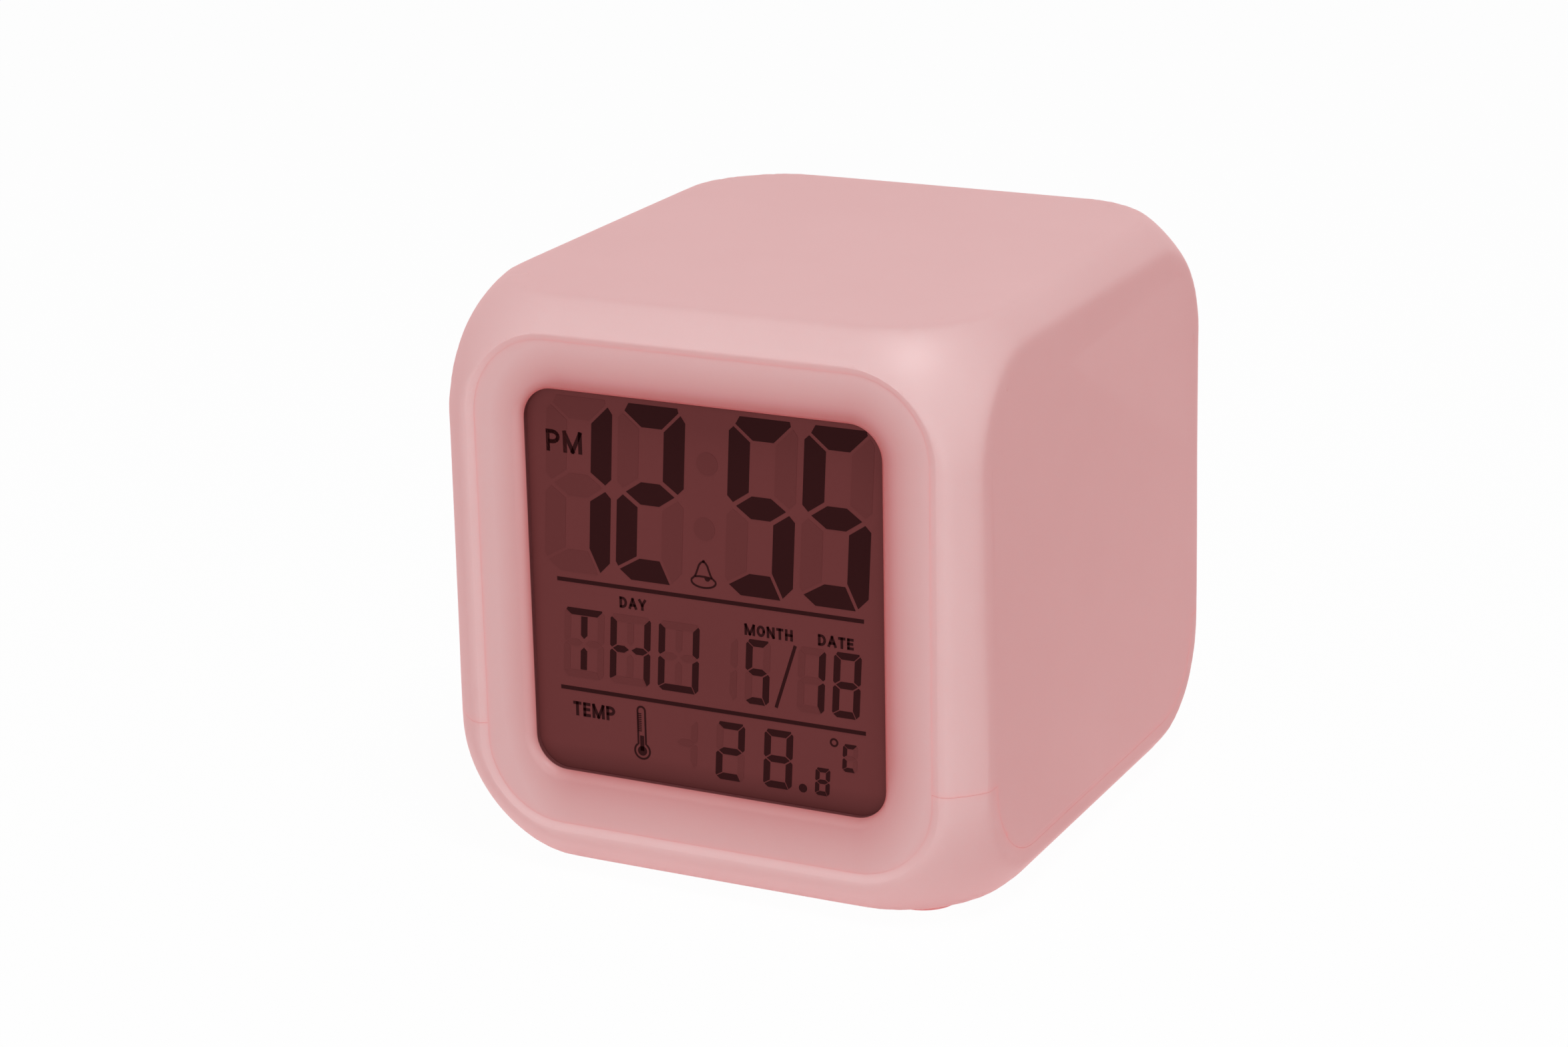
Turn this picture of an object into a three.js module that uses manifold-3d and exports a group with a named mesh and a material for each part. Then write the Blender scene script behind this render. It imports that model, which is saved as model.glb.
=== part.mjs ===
// A cube alarm clock: a translucent moulded housing in two halves, a segment display behind the front
// panel, keys and a battery box at the back, and a press plate under the base.
// Millimetres, +Z up, front at -Y. The origin is on the table, under the middle of the housing.
import * as THREE from 'three';
import { RoundedBoxGeometry } from 'three/addons/geometries/RoundedBoxGeometry.js';
import { mergeVertices } from 'three/addons/utils/BufferGeometryUtils.js';
import Module from 'manifold-3d';

// Housing
const BODY_WIDTH = 78; // at mid height
const BODY_DEPTH = 85.4;
const BODY_HEIGHT = 79;
const SIDE_DRAFT = 0.5; // each side leans in this far at the top, and out at the bottom
const EDGE_RADIUS = 23.5;
const FLAT_CORNER = 14.5; // corner radius of the flats, where they cut the rounded edges
const OUTER_STEPS = 8; // steps round a rounded edge
const INNER_STEPS = 4;
const WALL = 2;
const SEAM_HEIGHT = 19.15; // above the underside of the base housing
const TONGUE_WIDTH = 72; // the sides of the upper housing run down into the base
const TONGUE_DROP = 12.35;
const TONGUE_CORNER = 12;

// Clearances
const FIT = 0.3; // between pieces that sit in or on each other
const REACH = 1; // how far a cutting solid runs past the face that it cuts
const ROOT = 0.5; // how far a boss or rib is sunk into the wall that carries it

// Feet
const FOOT_DROP = 1; // the feet lift the housing this far off the table
const FOOT_RADIUS = 5;
const FOOT_SOCKET = 1;
const FOOT_INSET_X = 13; // from the side of the housing to the middle of the foot
const FOOT_INSET_Y = 12.7;

// Panels at the front and the back
const PANEL_RIM_SIDE = 2.25; // from the edge of the housing's flat to the panel
const PANEL_RIM_TOP = 1.2;
const PANEL_RIM_BOTTOM = 2.5;
const PANEL_CORNER = 11;
const PANEL_SINK = 0.4; // the panel's face lies this far below the housing's
const PANEL_DEPTH = 3.3;
const PANEL_FLANGE = 1.2;
const FLANGE_CORNER = 13.5;

// Window and display
const WINDOW_BORDER_SIDE = 6.85;
const WINDOW_BORDER_TOP = 6.8;
const WINDOW_BORDER_BOTTOM = 7.3;
const WINDOW_CORNER = 4.5;
const WINDOW_SKIN = 2; // panel thickness left in front of the glass
const WINDOW_EASE = 1; // slope round the window's edge
const GLASS_MARGIN = 1.6; // how far the glass reaches behind the panel round the window
const GLASS_DEPTH = 2.8;
const SPACER_DEPTH = 4.4;
const SPACER_MARGIN = 0.2; // the spacer reaches this far past the glass
const DIFFUSER_INSET_SIDE = 2.3; // from the edge of the glass
const DIFFUSER_INSET_ENDS = 5;
const STRIP_THICKNESS = 1.6;
const STRIP_INSET_SIDE = 4.5;
const STRIP_INSET_BOTTOM = 2.2; // from the lower edge of the glass to the middle of the strip

// Circuit boards and their screws
const BOARD_THICKNESS = 1.6;
const BOARD_EDGE = 1.9; // board round the middle of a screw hole
const BOARD_OVERHANG = 1.3; // the main board stands past the glass above and below
const BOSS_RADIUS = 2.2;
const BOSS_CLEARANCE = 0.4;
const BOSS_SPACING = 30; // between the upper and lower bosses of the main board
const PILOT_DEPTH = 5;
const SCREW_RADIUS = 0.9;
const SCREW_HEAD_RADIUS = 1.8;
const SCREW_HEAD_HEIGHT = 1.4;
const SCREW_LENGTH = 6;

// What the main board carries on its back, placed from the middle of the glass
const CHIP_RADIUS = 8;
const CHIP_HEIGHT = 2.2;
const CHIP_Z = 4;
const LIGHT_RADIUS = 2.5;
const LIGHT_RIM = 2.9;
const LIGHT_RIM_HEIGHT = 1;
const LIGHT_LENGTH = 8.1;
const LIGHT_SPACING = 28;
const LIGHT_Z = 22;
const BUZZER_RADIUS = 6;
const BUZZER_HEIGHT = 6.5;
const BUZZER_HOLE = 1;
const BUZZER_HOLE_DEPTH = 1.5;
const BUZZER_X = -17;
const BUZZER_Z = -15;
const CRYSTAL_RADIUS = 1;
const CRYSTAL_LENGTH = 6;
const CRYSTAL_X = 14;
const CRYSTAL_Z = -8;
const SENSOR_RADIUS = 1.3;
const SENSOR_LENGTH = 3.2;
const SENSOR_X = 22;
const SENSOR_Z = -22;

// Keys and light switch on the rear panel
const REAR_SKIN = 2; // thickness of the rear panel inside its rim
const REAR_RIM = 2.25;
const KEY_FROM_TOP = 9.3;
const KEY_ROW_INSET = 4.46; // from the panel's side to the first flange of the row
const KEY_GAP = 0.85; // between the flanges
const KEY_NAMES = ['mode', 'set', 'up', 'down'];
const KEY_HEIGHT = 4.6;
const KEY_CORNER = 2.1;
const KEY_PROUD = 1;
const KEY_FLANGE = 1.1;
const KEY_FLANGE_DEPTH = 1;
const KEY_STEM_RADIUS = 1.5;
const KEY_STEM_LENGTH = 3;
const KEY_TRAVEL = 0.8;
const KEY_REST_GAP = 0.2; // left between stem and plunger when the key is held in
const SWITCH_SIDE = 6; // square body of a key switch
const SWITCH_DEPTH = 3.5;
const PLUNGER_RADIUS = 1.7;
const PLUNGER_LENGTH = 1.5;
const KEY_BOSS_SPACING = 34;
const KEY_BOSS_DROP = 5.8; // below the row of keys
const KEY_BOARD_WIDTH = 58;
const KEY_BOARD_ABOVE = 4.6; // board above the row of keys
const KEY_BOARD_BELOW = 7.4;
const SLIDE_TRAVEL = 3;
const SLIDE_WIDTH = 5;
const SLIDE_HEIGHT = 4;
const SLIDE_CORNER = 0.6;
const SLIDE_PROUD = 0.7;
const SLIDE_FLANGE = 3.4; // flange past the knob on the left and right
const SLIDE_FLANGE_ENDS = 1.3;
const SLIDE_STEM_WIDTH = 3;
const SLIDE_STEM_HEIGHT = 2;
const SLIDE_BODY_WIDTH = 8.6;
const SLIDE_BODY_HEIGHT = 4.4;
const SLIDE_BODY_DEPTH = 3.6;

// Battery box, cells, contacts and door
const CELL_RADIUS = 5.25;
const CELL_LENGTH = 44.5;
const CELL_NUB_RADIUS = 1.9;
const CELL_NUB_LENGTH = 1.2;
const CELL_PITCH = 10.85;
const CONTACT_ROOM = 3.2; // at each end of the cells
const CONTACT_PLATE = 0.5;
const CONTACT_WIDTH = 6;
const LEAF_THICKNESS = 0.4;
const BAY_FROM_BOTTOM = 5; // from the panel's lower edge to the bay
const BAY_SLACK = 0.2;
const BAY_WALL = 1.4;
const DOOR_THICKNESS = 1.7;
const DOOR_LEDGE = 0.9; // the door reaches this far past the bay
const DOOR_CORNER = 2;
const DOOR_CELL_GAP = 0.45;
const HOOK_WIDTH = 6;
const HOOK_SPACING = 30;
const HOOK_DROP = 1.1;
const HOOK_RISE = 1.5;
const HOOK_DEPTH = 1.1;
const HOOK_SWING = 0.7; // room behind a hook while the door turns
const GRIP_COUNT = 3;
const GRIP_WIDTH = 16;
const GRIP_HEIGHT = 0.8;
const GRIP_PROUD = 0.4;
const GRIP_PITCH = 2;
const GRIP_FROM_TOP = 4;
const THUMB_RADIUS = 5;
const THUMB_DEPTH = 0.8;

// Posts and screws that hold the two housings together
const POST_INSET = 7; // from the side of the housing to the middle of the screw
const POST_Y = 18;
const POST_WIDTH = 6.4;
const POST_BOTTOM = 11; // above the underside of the base housing
const POST_HEIGHT = 20;
const BASE_BOSS_RADIUS = 4.2;
const HOUSING_SCREW_RADIUS = 1.2;
const HOUSING_HEAD_RADIUS = 2.4;
const HOUSING_HEAD_HEIGHT = 1.8;
const HOUSING_SCREW_LENGTH = 15;
const COUNTERBORE_DEPTH = 4;

// Press plate under the base
const PRESS_Y = 0;
const PRESS_RADIUS = 9;
const PRESS_CLEARANCE = 0.2; // over the table, at rest
const PRESS_TRAVEL = 0.8;
const PRESS_FLANGE = 1.5;
const PRESS_FLANGE_DEPTH = 1;
const PRESS_STEM_RADIUS = 2;
const PRESS_STEM_LENGTH = 2;
const PRESS_POST_X = 14;
const PRESS_BOARD_HEIGHT = 12;

// Leads inside
const LEAD_RADIUS = 0.6;
const LEAD_SIDES = 3; // in each half turn
const LEAD_STEPS = 10;
const LEAD_SAG = 6;
const RED_LEAD_X = -7;
const BLACK_LEAD_X = -3;
const RIBBON_WIDTH = 10;
const RIBBON_THICKNESS = 0.4;
const RIBBON_STEPS = 8;
const RIBBON_SAG = 5;

// Fineness of round pieces
const ROUND_SIDES = 24;
const SMALL_SIDES = 10;
const CORNER_STEPS = 3; // in each half of a quarter turn
const MERGE_TOLERANCE = 1e-4;

// Places that follow from the sizes above
const BOTTOM_Z = FOOT_DROP;
const MIDDLE_Z = FOOT_DROP + BODY_HEIGHT / 2;
const TOP_Z = FOOT_DROP + BODY_HEIGHT;
const SEAM_Z = BOTTOM_Z + SEAM_HEIGHT;
const FLOOR_Z = BOTTOM_Z + WALL;
const ARC_DROP = Math.sqrt(EDGE_RADIUS ** 2 - FLAT_CORNER ** 2); // from a flat to the arc's centre
const ARC_X = BODY_WIDTH / 2 - ARC_DROP;
const ARC_Y = BODY_DEPTH / 2 - ARC_DROP;
const ARC_Z = BODY_HEIGHT / 2 - ARC_DROP;
const PANEL_HALF = ARC_X + FLAT_CORNER - PANEL_RIM_SIDE;
const PANEL_TOP = MIDDLE_Z + ARC_Z + FLAT_CORNER - PANEL_RIM_TOP;
const PANEL_BOTTOM = MIDDLE_Z - ARC_Z - FLAT_CORNER + PANEL_RIM_BOTTOM;
const WINDOW_HALF = PANEL_HALF - WINDOW_BORDER_SIDE;
const WINDOW_TOP = PANEL_TOP - WINDOW_BORDER_TOP;
const WINDOW_BOTTOM = PANEL_BOTTOM + WINDOW_BORDER_BOTTOM;
const GLASS_HALF = WINDOW_HALF + GLASS_MARGIN;
const GLASS_TOP = WINDOW_TOP + GLASS_MARGIN;
const GLASS_BOTTOM = WINDOW_BOTTOM - GLASS_MARGIN;
const GLASS_Z = (GLASS_TOP + GLASS_BOTTOM) / 2;
const FACE_DEPTH = PANEL_SINK; // depths are measured inwards from the housing's flat
const PANEL_BACK_DEPTH = PANEL_SINK + PANEL_DEPTH;
const FLANGE_FRONT_DEPTH = WALL + FIT;
const GLASS_FRONT_Y = -inward(FACE_DEPTH + WINDOW_SKIN + FIT);
const GLASS_BACK_Y = GLASS_FRONT_Y + GLASS_DEPTH;
const SPACER_FRONT_Y = GLASS_BACK_Y + FIT;
const SPACER_BACK_Y = SPACER_FRONT_Y + SPACER_DEPTH;
const BOARD_FRONT_Y = SPACER_BACK_Y + FIT;
const BOARD_BACK_Y = BOARD_FRONT_Y + BOARD_THICKNESS;
const BOARD_PARTS_Y = BOARD_BACK_Y + FIT;
const BOARD_BOSS_X = GLASS_HALF + FIT + BOSS_CLEARANCE + BOSS_RADIUS;
const REAR_FACE_Y = inward(FACE_DEPTH);
const REAR_INNER_Y = REAR_FACE_Y - REAR_SKIN;
const KEY_Z = PANEL_TOP - KEY_FROM_TOP;
const SLIDE_ROOM = SLIDE_WIDTH + 2 * SLIDE_FLANGE + SLIDE_TRAVEL;
const SLIDE_X = PANEL_HALF - KEY_ROW_INSET - SLIDE_ROOM / 2;
const KEY_ROW_LEFT = -PANEL_HALF + KEY_ROW_INSET;
const KEY_PITCH = (SLIDE_X - SLIDE_ROOM / 2 - KEY_ROW_LEFT) / KEY_NAMES.length;
const KEY_WIDTH = KEY_PITCH - KEY_GAP - 2 * KEY_FLANGE;
const KEY_BOARD_BOTTOM = KEY_Z - KEY_BOARD_BELOW;
const KEY_FLANGE_Y = REAR_INNER_Y - FIT;
const KEY_STEM_Y = KEY_FLANGE_Y - KEY_FLANGE_DEPTH;
const KEY_TIP_Y = KEY_STEM_Y - KEY_STEM_LENGTH;
const PLUNGER_TIP_Y = KEY_TIP_Y - KEY_TRAVEL - KEY_REST_GAP;
const KEY_SWITCH_Y = PLUNGER_TIP_Y - PLUNGER_LENGTH - SWITCH_DEPTH;
const KEY_BOARD_BACK_Y = KEY_SWITCH_Y - FIT;
const KEY_BOARD_FRONT_Y = KEY_BOARD_BACK_Y - BOARD_THICKNESS;
const BAY_HALF = CELL_LENGTH / 2 + CONTACT_ROOM;
const BAY_BOTTOM = PANEL_BOTTOM + BAY_FROM_BOTTOM;
const BAY_LIMIT = KEY_BOARD_BOTTOM - FIT - BAY_WALL; // the key board leaves the bay this much height
const CELL_COUNT = Math.floor((BAY_LIMIT - BAY_BOTTOM - 2 * BAY_SLACK) / CELL_PITCH);
const BAY_TOP = BAY_BOTTOM + 2 * BAY_SLACK + CELL_COUNT * CELL_PITCH;
const DOOR_HALF = BAY_HALF + DOOR_LEDGE;
const DOOR_BOTTOM = BAY_BOTTOM - DOOR_LEDGE;
const DOOR_TOP = BAY_TOP + DOOR_LEDGE;
const DOOR_INNER_Y = REAR_FACE_Y - DOOR_THICKNESS;
const CELL_Y = DOOR_INNER_Y - DOOR_CELL_GAP - CELL_RADIUS;
const BAY_FLOOR_Y = CELL_Y - CELL_RADIUS - FIT;
const BOX_BACK_Y = BAY_FLOOR_Y - BAY_WALL;
const POST_X = BODY_WIDTH / 2 - POST_INSET;
const POST_Z = BOTTOM_Z + POST_BOTTOM;
const SHOULDER_Z = BOTTOM_Z + COUNTERBORE_DEPTH;
const PRESS_FLANGE_Z = FLOOR_Z + FIT;
const PRESS_STEM_Z = PRESS_FLANGE_Z + PRESS_FLANGE_DEPTH;
const PRESS_TIP_Z = PRESS_STEM_Z + PRESS_STEM_LENGTH;
const PRESS_PLUNGER_Z = PRESS_TIP_Z + PRESS_TRAVEL + KEY_REST_GAP;
const PRESS_SWITCH_TOP = PRESS_PLUNGER_Z + PLUNGER_LENGTH + SWITCH_DEPTH;
const PRESS_BOARD_Z = PRESS_SWITCH_TOP + FIT;
const PRESS_BOARD_TOP = PRESS_BOARD_Z + BOARD_THICKNESS;

// Distance from the middle of the housing of a face that lies at a depth inside its front or back flat
function inward(depth) {
  return BODY_DEPTH / 2 - depth;
}

// Solids: closed three.js geometry becomes a solid that can be joined and cut
const wasm = await Module();
wasm.setup();

function solidOf(geometry) {
  geometry.deleteAttribute('normal');
  geometry.deleteAttribute('uv');
  const merged = mergeVertices(geometry, MERGE_TOLERANCE);
  const corners = merged.index.array;
  const triangles = [];
  for (let i = 0; i < corners.length; i += 3) {
    const [a, b, c] = corners.slice(i, i + 3);
    if (a !== b && b !== c && c !== a) triangles.push(a, b, c);
  }
  const vertProperties = new Float32Array(merged.attributes.position.array);
  const triVerts = new Uint32Array(triangles);
  return new wasm.Manifold(new wasm.Mesh({ numProp: 3, vertProperties, triVerts }));
}

function geometryOf(solid) {
  const mesh = solid.getMesh();
  const geometry = new THREE.BufferGeometry();
  geometry.setAttribute('position', new THREE.BufferAttribute(mesh.vertProperties, 3));
  geometry.setIndex(new THREE.BufferAttribute(mesh.triVerts, 1));
  geometry.computeVertexNormals();
  return geometry;
}

function join(first, ...others) {
  return others.reduce((whole, piece) => whole.add(piece), first);
}

function cut(first, ...others) {
  return others.reduce((whole, piece) => whole.subtract(piece), first);
}

// Outlines
function rectangle(left, right, bottom, top, corner = 0) {
  const shape = new THREE.Shape();
  if (corner === 0) {
    shape.moveTo(left, bottom).lineTo(right, bottom).lineTo(right, top).lineTo(left, top);
    return shape;
  }
  shape.absarc(right - corner, top - corner, corner, 0, Math.PI / 2);
  shape.absarc(left + corner, top - corner, corner, Math.PI / 2, Math.PI);
  shape.absarc(left + corner, bottom + corner, corner, Math.PI, Math.PI * 1.5);
  shape.absarc(right - corner, bottom + corner, corner, Math.PI * 1.5, Math.PI * 2);
  shape.closePath();
  return shape;
}

function centred(width, height, corner, across = 0, up = 0) {
  return rectangle(across - width / 2, across + width / 2, up - height / 2, up + height / 2, corner);
}

// Extrusions of an outline between two planes. The outline is in x and y, x and z, or y and z.
function extrude(shape, depth) {
  return new THREE.ExtrudeGeometry(shape, { depth, bevelEnabled: false, curveSegments: CORNER_STEPS });
}

function alongZ(shape, z0, z1) {
  return solidOf(extrude(shape, Math.abs(z1 - z0)).translate(0, 0, Math.min(z0, z1)));
}

function alongY(shape, y0, y1) {
  const depth = Math.abs(y1 - y0);
  return solidOf(extrude(shape, depth).rotateX(Math.PI / 2).translate(0, Math.max(y0, y1), 0));
}

function alongX(shape, x0, x1) {
  const turn = new THREE.Matrix4().makeBasis(
    new THREE.Vector3(0, 1, 0),
    new THREE.Vector3(0, 0, 1),
    new THREE.Vector3(1, 0, 0),
  );
  return solidOf(extrude(shape, Math.abs(x1 - x0)).applyMatrix4(turn).translate(Math.min(x0, x1), 0, 0));
}

// Round bars along y and z
function rodY(radius, y0, y1, x, z, sides = ROUND_SIDES) {
  const bar = new THREE.CylinderGeometry(radius, radius, Math.abs(y1 - y0), sides);
  return solidOf(bar.translate(x, (y0 + y1) / 2, z));
}

function rodZ(radius, z0, z1, x, y, sides = ROUND_SIDES) {
  const bar = new THREE.CylinderGeometry(radius, radius, Math.abs(z1 - z0), sides);
  return solidOf(bar.rotateX(Math.PI / 2).translate(x, y, (z0 + z1) / 2));
}

// Holes for the small screws
function screwHoleY(y0, y1, x, z) {
  return rodY(SCREW_RADIUS + FIT, y0, y1, x, z, SMALL_SIDES);
}

function screwHoleZ(z0, z1, x, y) {
  return rodZ(SCREW_RADIUS + FIT, z0, z1, x, y, SMALL_SIDES);
}

// A turned piece, its profile given as radius and height from one end of the axis to the other
function turned(profile, sides) {
  const points = profile.map(([radius, height]) => new THREE.Vector2(radius, height));
  return new THREE.LatheGeometry(points, sides);
}

const clock = new THREE.Group();

function place(name, geometry, material, position = [0, 0, 0]) {
  const mesh = new THREE.Mesh(geometry, material.clone());
  mesh.name = name;
  mesh.position.set(...position);
  clock.add(mesh);
  return mesh;
}

function finish(color, roughness, metalness = 0) {
  return new THREE.MeshStandardMaterial({ color, roughness, metalness });
}

const GLOWING_PLASTIC = finish(0xdab0b0, 0.45);
const PANEL_PLASTIC = finish(0xd3a1a2, 0.45);
const MILKY_PLASTIC = finish(0xe6d5d3, 0.5);
const DISPLAY_GLASS = finish(0x633333, 0.15);
const RUBBER = finish(0x4a4444, 0.9);
const DARK_PLASTIC = finish(0x2a2728, 0.5);
const EPOXY = finish(0x1c1b1c, 0.35);
const CIRCUIT_BOARD = finish(0x2f5a3c, 0.5);
const STEEL = finish(0xb9bbbd, 0.3, 1);
const NICKEL = finish(0xc9c4b8, 0.28, 1);
const CELL_JACKET = finish(0x39424d, 0.4, 0.3);
const RED_LEAD = finish(0xa83232, 0.6);
const BLACK_LEAD = finish(0x262424, 0.6);
const RIBBON = finish(0xb9b6b0, 0.6);

// Housing form: a box with large round edges, cut by the flats. An inset makes it smaller all round.
function housingForm(inset, steps) {
  const radius = EDGE_RADIUS - inset;
  const round = new RoundedBoxGeometry(
    2 * (ARC_X + radius),
    2 * (ARC_Y + radius),
    2 * (ARC_Z + radius),
    steps,
    radius,
  );
  const half = BODY_WIDTH / 2 - inset;
  const flats = new THREE.Shape();
  flats.moveTo(-half - SIDE_DRAFT, BOTTOM_Z + inset);
  flats.lineTo(half + SIDE_DRAFT, BOTTOM_Z + inset);
  flats.lineTo(half - SIDE_DRAFT, TOP_Z - inset);
  flats.lineTo(-half + SIDE_DRAFT, TOP_Z - inset);
  const block = alongY(flats, -inward(inset), inward(inset));
  return solidOf(round.translate(0, 0, MIDDLE_Z)).intersect(block);
}

function panelOutline(grow) {
  const half = PANEL_HALF + grow;
  return rectangle(-half, half, PANEL_BOTTOM - grow, PANEL_TOP + grow, PANEL_CORNER + grow);
}

function glassOutline(grow) {
  const half = GLASS_HALF + grow;
  return rectangle(-half, half, GLASS_BOTTOM - grow, GLASS_TOP + grow);
}

// The tongue of one side of the upper housing, and, grown, the scallop that takes it
function tongueBlock(side, grow) {
  const half = TONGUE_WIDTH / 2 + grow;
  const low = SEAM_Z - TONGUE_DROP - grow;
  const outline = rectangle(-half, half, low, SEAM_Z + TONGUE_CORNER * 2, TONGUE_CORNER + grow);
  return alongX(outline, side * POST_X, side * (BODY_WIDTH / 2 + SIDE_DRAFT + REACH));
}

const SIDES = [-1, 1];
const CORNERS = SIDES.flatMap((x) => SIDES.map((y) => [x, y]));
const PANEL_OPENINGS = SIDES.map((side) => {
  return alongY(panelOutline(FIT), side * inward(-REACH), side * inward(FLANGE_FRONT_DEPTH + REACH));
});
const SHELL = cut(housingForm(0, OUTER_STEPS), housingForm(WALL, INNER_STEPS), ...PANEL_OPENINGS);
const HALF_GAP = FIT / 2;
const WIDE_OUTLINE = centred(BODY_WIDTH * 2, BODY_DEPTH * 2, 0);
const ABOVE_SEAM = alongZ(WIDE_OUTLINE, SEAM_Z + HALF_GAP, TOP_Z + REACH);
const BELOW_SEAM = alongZ(WIDE_OUTLINE, BOTTOM_Z - REACH, SEAM_Z - HALF_GAP);

function housingScrewHole(z0, z1, x, y) {
  return rodZ(HOUSING_SCREW_RADIUS + FIT, z0, z1, x * POST_X, y * POST_Y, SMALL_SIDES);
}

// Upper housing: top, sides with their tongues, and four posts for the housing screws
{
  const tongues = SIDES.map((side) => tongueBlock(side, 0));
  let upper = SHELL.intersect(join(ABOVE_SEAM, ...tongues));
  for (const [x, y] of CORNERS) {
    const wallX = BODY_WIDTH / 2 - WALL + ROOT;
    const width = wallX - POST_X + POST_WIDTH / 2;
    const outline = centred(width, POST_WIDTH, 0, x * (wallX - width / 2), y * POST_Y);
    const post = alongZ(outline, POST_Z, POST_Z + POST_HEIGHT);
    const pilotTop = SHOULDER_Z + HOUSING_SCREW_LENGTH;
    upper = cut(join(upper, post), housingScrewHole(POST_Z - REACH, pilotTop, x, y));
  }
  place('upper_housing', geometryOf(upper), GLOWING_PLASTIC);
}

// Base housing: underside and lower edges, sockets for the feet, bosses for the housing screws
{
  const scallops = SIDES.map((side) => tongueBlock(side, FIT));
  let base = cut(SHELL.intersect(BELOW_SEAM), ...scallops);
  for (const [x, y] of CORNERS) {
    const boss = rodZ(BASE_BOSS_RADIUS, FLOOR_Z - ROOT, POST_Z - FIT, x * POST_X, y * POST_Y);
    const bore = housingScrewHole(BOTTOM_Z - REACH, POST_Z + REACH, x, y);
    const recess = rodZ(HOUSING_HEAD_RADIUS + FIT, BOTTOM_Z - REACH, SHOULDER_Z, x * POST_X, y * POST_Y);
    const footX = x * (BODY_WIDTH / 2 - FOOT_INSET_X);
    const footY = y * (BODY_DEPTH / 2 - FOOT_INSET_Y);
    const socket = rodZ(FOOT_RADIUS + FIT, BOTTOM_Z - REACH, BOTTOM_Z + FOOT_SOCKET, footX, footY);
    base = cut(join(base, boss), bore, recess, socket);
  }
  for (const x of SIDES) {
    const postX = x * PRESS_POST_X;
    const postTop = PRESS_BOARD_Z - FIT;
    const post = rodZ(BOSS_RADIUS, FLOOR_Z - ROOT, postTop, postX, PRESS_Y, SMALL_SIDES);
    base = cut(join(base, post), screwHoleZ(postTop - PILOT_DEPTH, postTop + REACH, postX, PRESS_Y));
  }
  base = cut(base, rodZ(PRESS_RADIUS + FIT, BOTTOM_Z - REACH, FLOOR_Z + REACH, 0, PRESS_Y));
  place('base_housing', geometryOf(base), GLOWING_PLASTIC);
}

// Panel blank: the face that fills the opening, and the flange behind it that keeps it in
function panelBlank(side) {
  const face = alongY(panelOutline(0), side * inward(FACE_DEPTH), side * inward(PANEL_BACK_DEPTH));
  const outline = rectangle(
    -PANEL_HALF - PANEL_FLANGE,
    PANEL_HALF + PANEL_FLANGE,
    PANEL_BOTTOM - PANEL_FLANGE,
    PANEL_TOP + FIT,
    FLANGE_CORNER,
  );
  return join(face, alongY(outline, side * inward(FLANGE_FRONT_DEPTH), side * inward(PANEL_BACK_DEPTH)));
}

// Front panel: window, pocket for the glass, and bosses for the main board
{
  const windowOutline = rectangle(-WINDOW_HALF, WINDOW_HALF, WINDOW_BOTTOM, WINDOW_TOP, WINDOW_CORNER);
  const hole = alongY(windowOutline, -inward(-REACH), -inward(PANEL_BACK_DEPTH + REACH));
  const pocketFront = FACE_DEPTH + WINDOW_SKIN;
  const pocket = alongY(glassOutline(FIT), -inward(pocketFront), -inward(PANEL_BACK_DEPTH + REACH));
  const flare = new THREE.ExtrudeGeometry(windowOutline, {
    depth: REACH,
    bevelThickness: WINDOW_EASE,
    bevelSize: WINDOW_EASE,
    bevelSegments: 1,
    curveSegments: CORNER_STEPS,
  });
  const slope = solidOf(flare.rotateX(Math.PI / 2).translate(0, -inward(FACE_DEPTH), 0));
  let panel = cut(panelBlank(-1), hole, slope, pocket);
  for (const [x, z] of CORNERS) {
    const bossX = x * BOARD_BOSS_X;
    const bossZ = GLASS_Z + z * BOSS_SPACING / 2;
    const root = -inward(PANEL_BACK_DEPTH - ROOT);
    const boss = rodY(BOSS_RADIUS, root, SPACER_BACK_Y, bossX, bossZ, SMALL_SIDES);
    const pilot = screwHoleY(SPACER_BACK_Y - PILOT_DEPTH, SPACER_BACK_Y + REACH, bossX, bossZ);
    panel = cut(join(panel, boss), pilot);
  }
  place('front_panel', geometryOf(panel), PANEL_PLASTIC);
}

// Display: glass, spacer with the diffuser in its opening, and the rubber connector strip
{
  place('lcd_glass', geometryOf(alongY(glassOutline(0), GLASS_FRONT_Y, GLASS_BACK_Y)), DISPLAY_GLASS);
  const diffuserWidth = 2 * (GLASS_HALF - DIFFUSER_INSET_SIDE);
  const diffuserHeight = GLASS_TOP - GLASS_BOTTOM - 2 * DIFFUSER_INSET_ENDS;
  const diffuser = centred(diffuserWidth, diffuserHeight, 0, 0, GLASS_Z);
  const opening = centred(diffuserWidth + 2 * FIT, diffuserHeight + 2 * FIT, 0, 0, GLASS_Z);
  const stripHalf = GLASS_HALF - STRIP_INSET_SIDE;
  const stripZ = GLASS_BOTTOM + STRIP_INSET_BOTTOM;
  const strip = centred(2 * stripHalf, STRIP_THICKNESS, 0, 0, stripZ);
  const slot = centred(2 * (stripHalf + FIT), STRIP_THICKNESS + 2 * FIT, 0, 0, stripZ);
  const spacer = cut(
    alongY(glassOutline(SPACER_MARGIN), SPACER_FRONT_Y, SPACER_BACK_Y),
    alongY(opening, SPACER_FRONT_Y - REACH, SPACER_BACK_Y + REACH),
    alongY(slot, SPACER_FRONT_Y - REACH, SPACER_BACK_Y + REACH),
  );
  place('display_spacer', geometryOf(spacer), MILKY_PLASTIC);
  place('backlight_diffuser', geometryOf(alongY(diffuser, SPACER_FRONT_Y, SPACER_BACK_Y)), MILKY_PLASTIC);
  place('connector_strip', geometryOf(alongY(strip, SPACER_FRONT_Y, SPACER_BACK_Y)), RUBBER);
}

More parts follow.
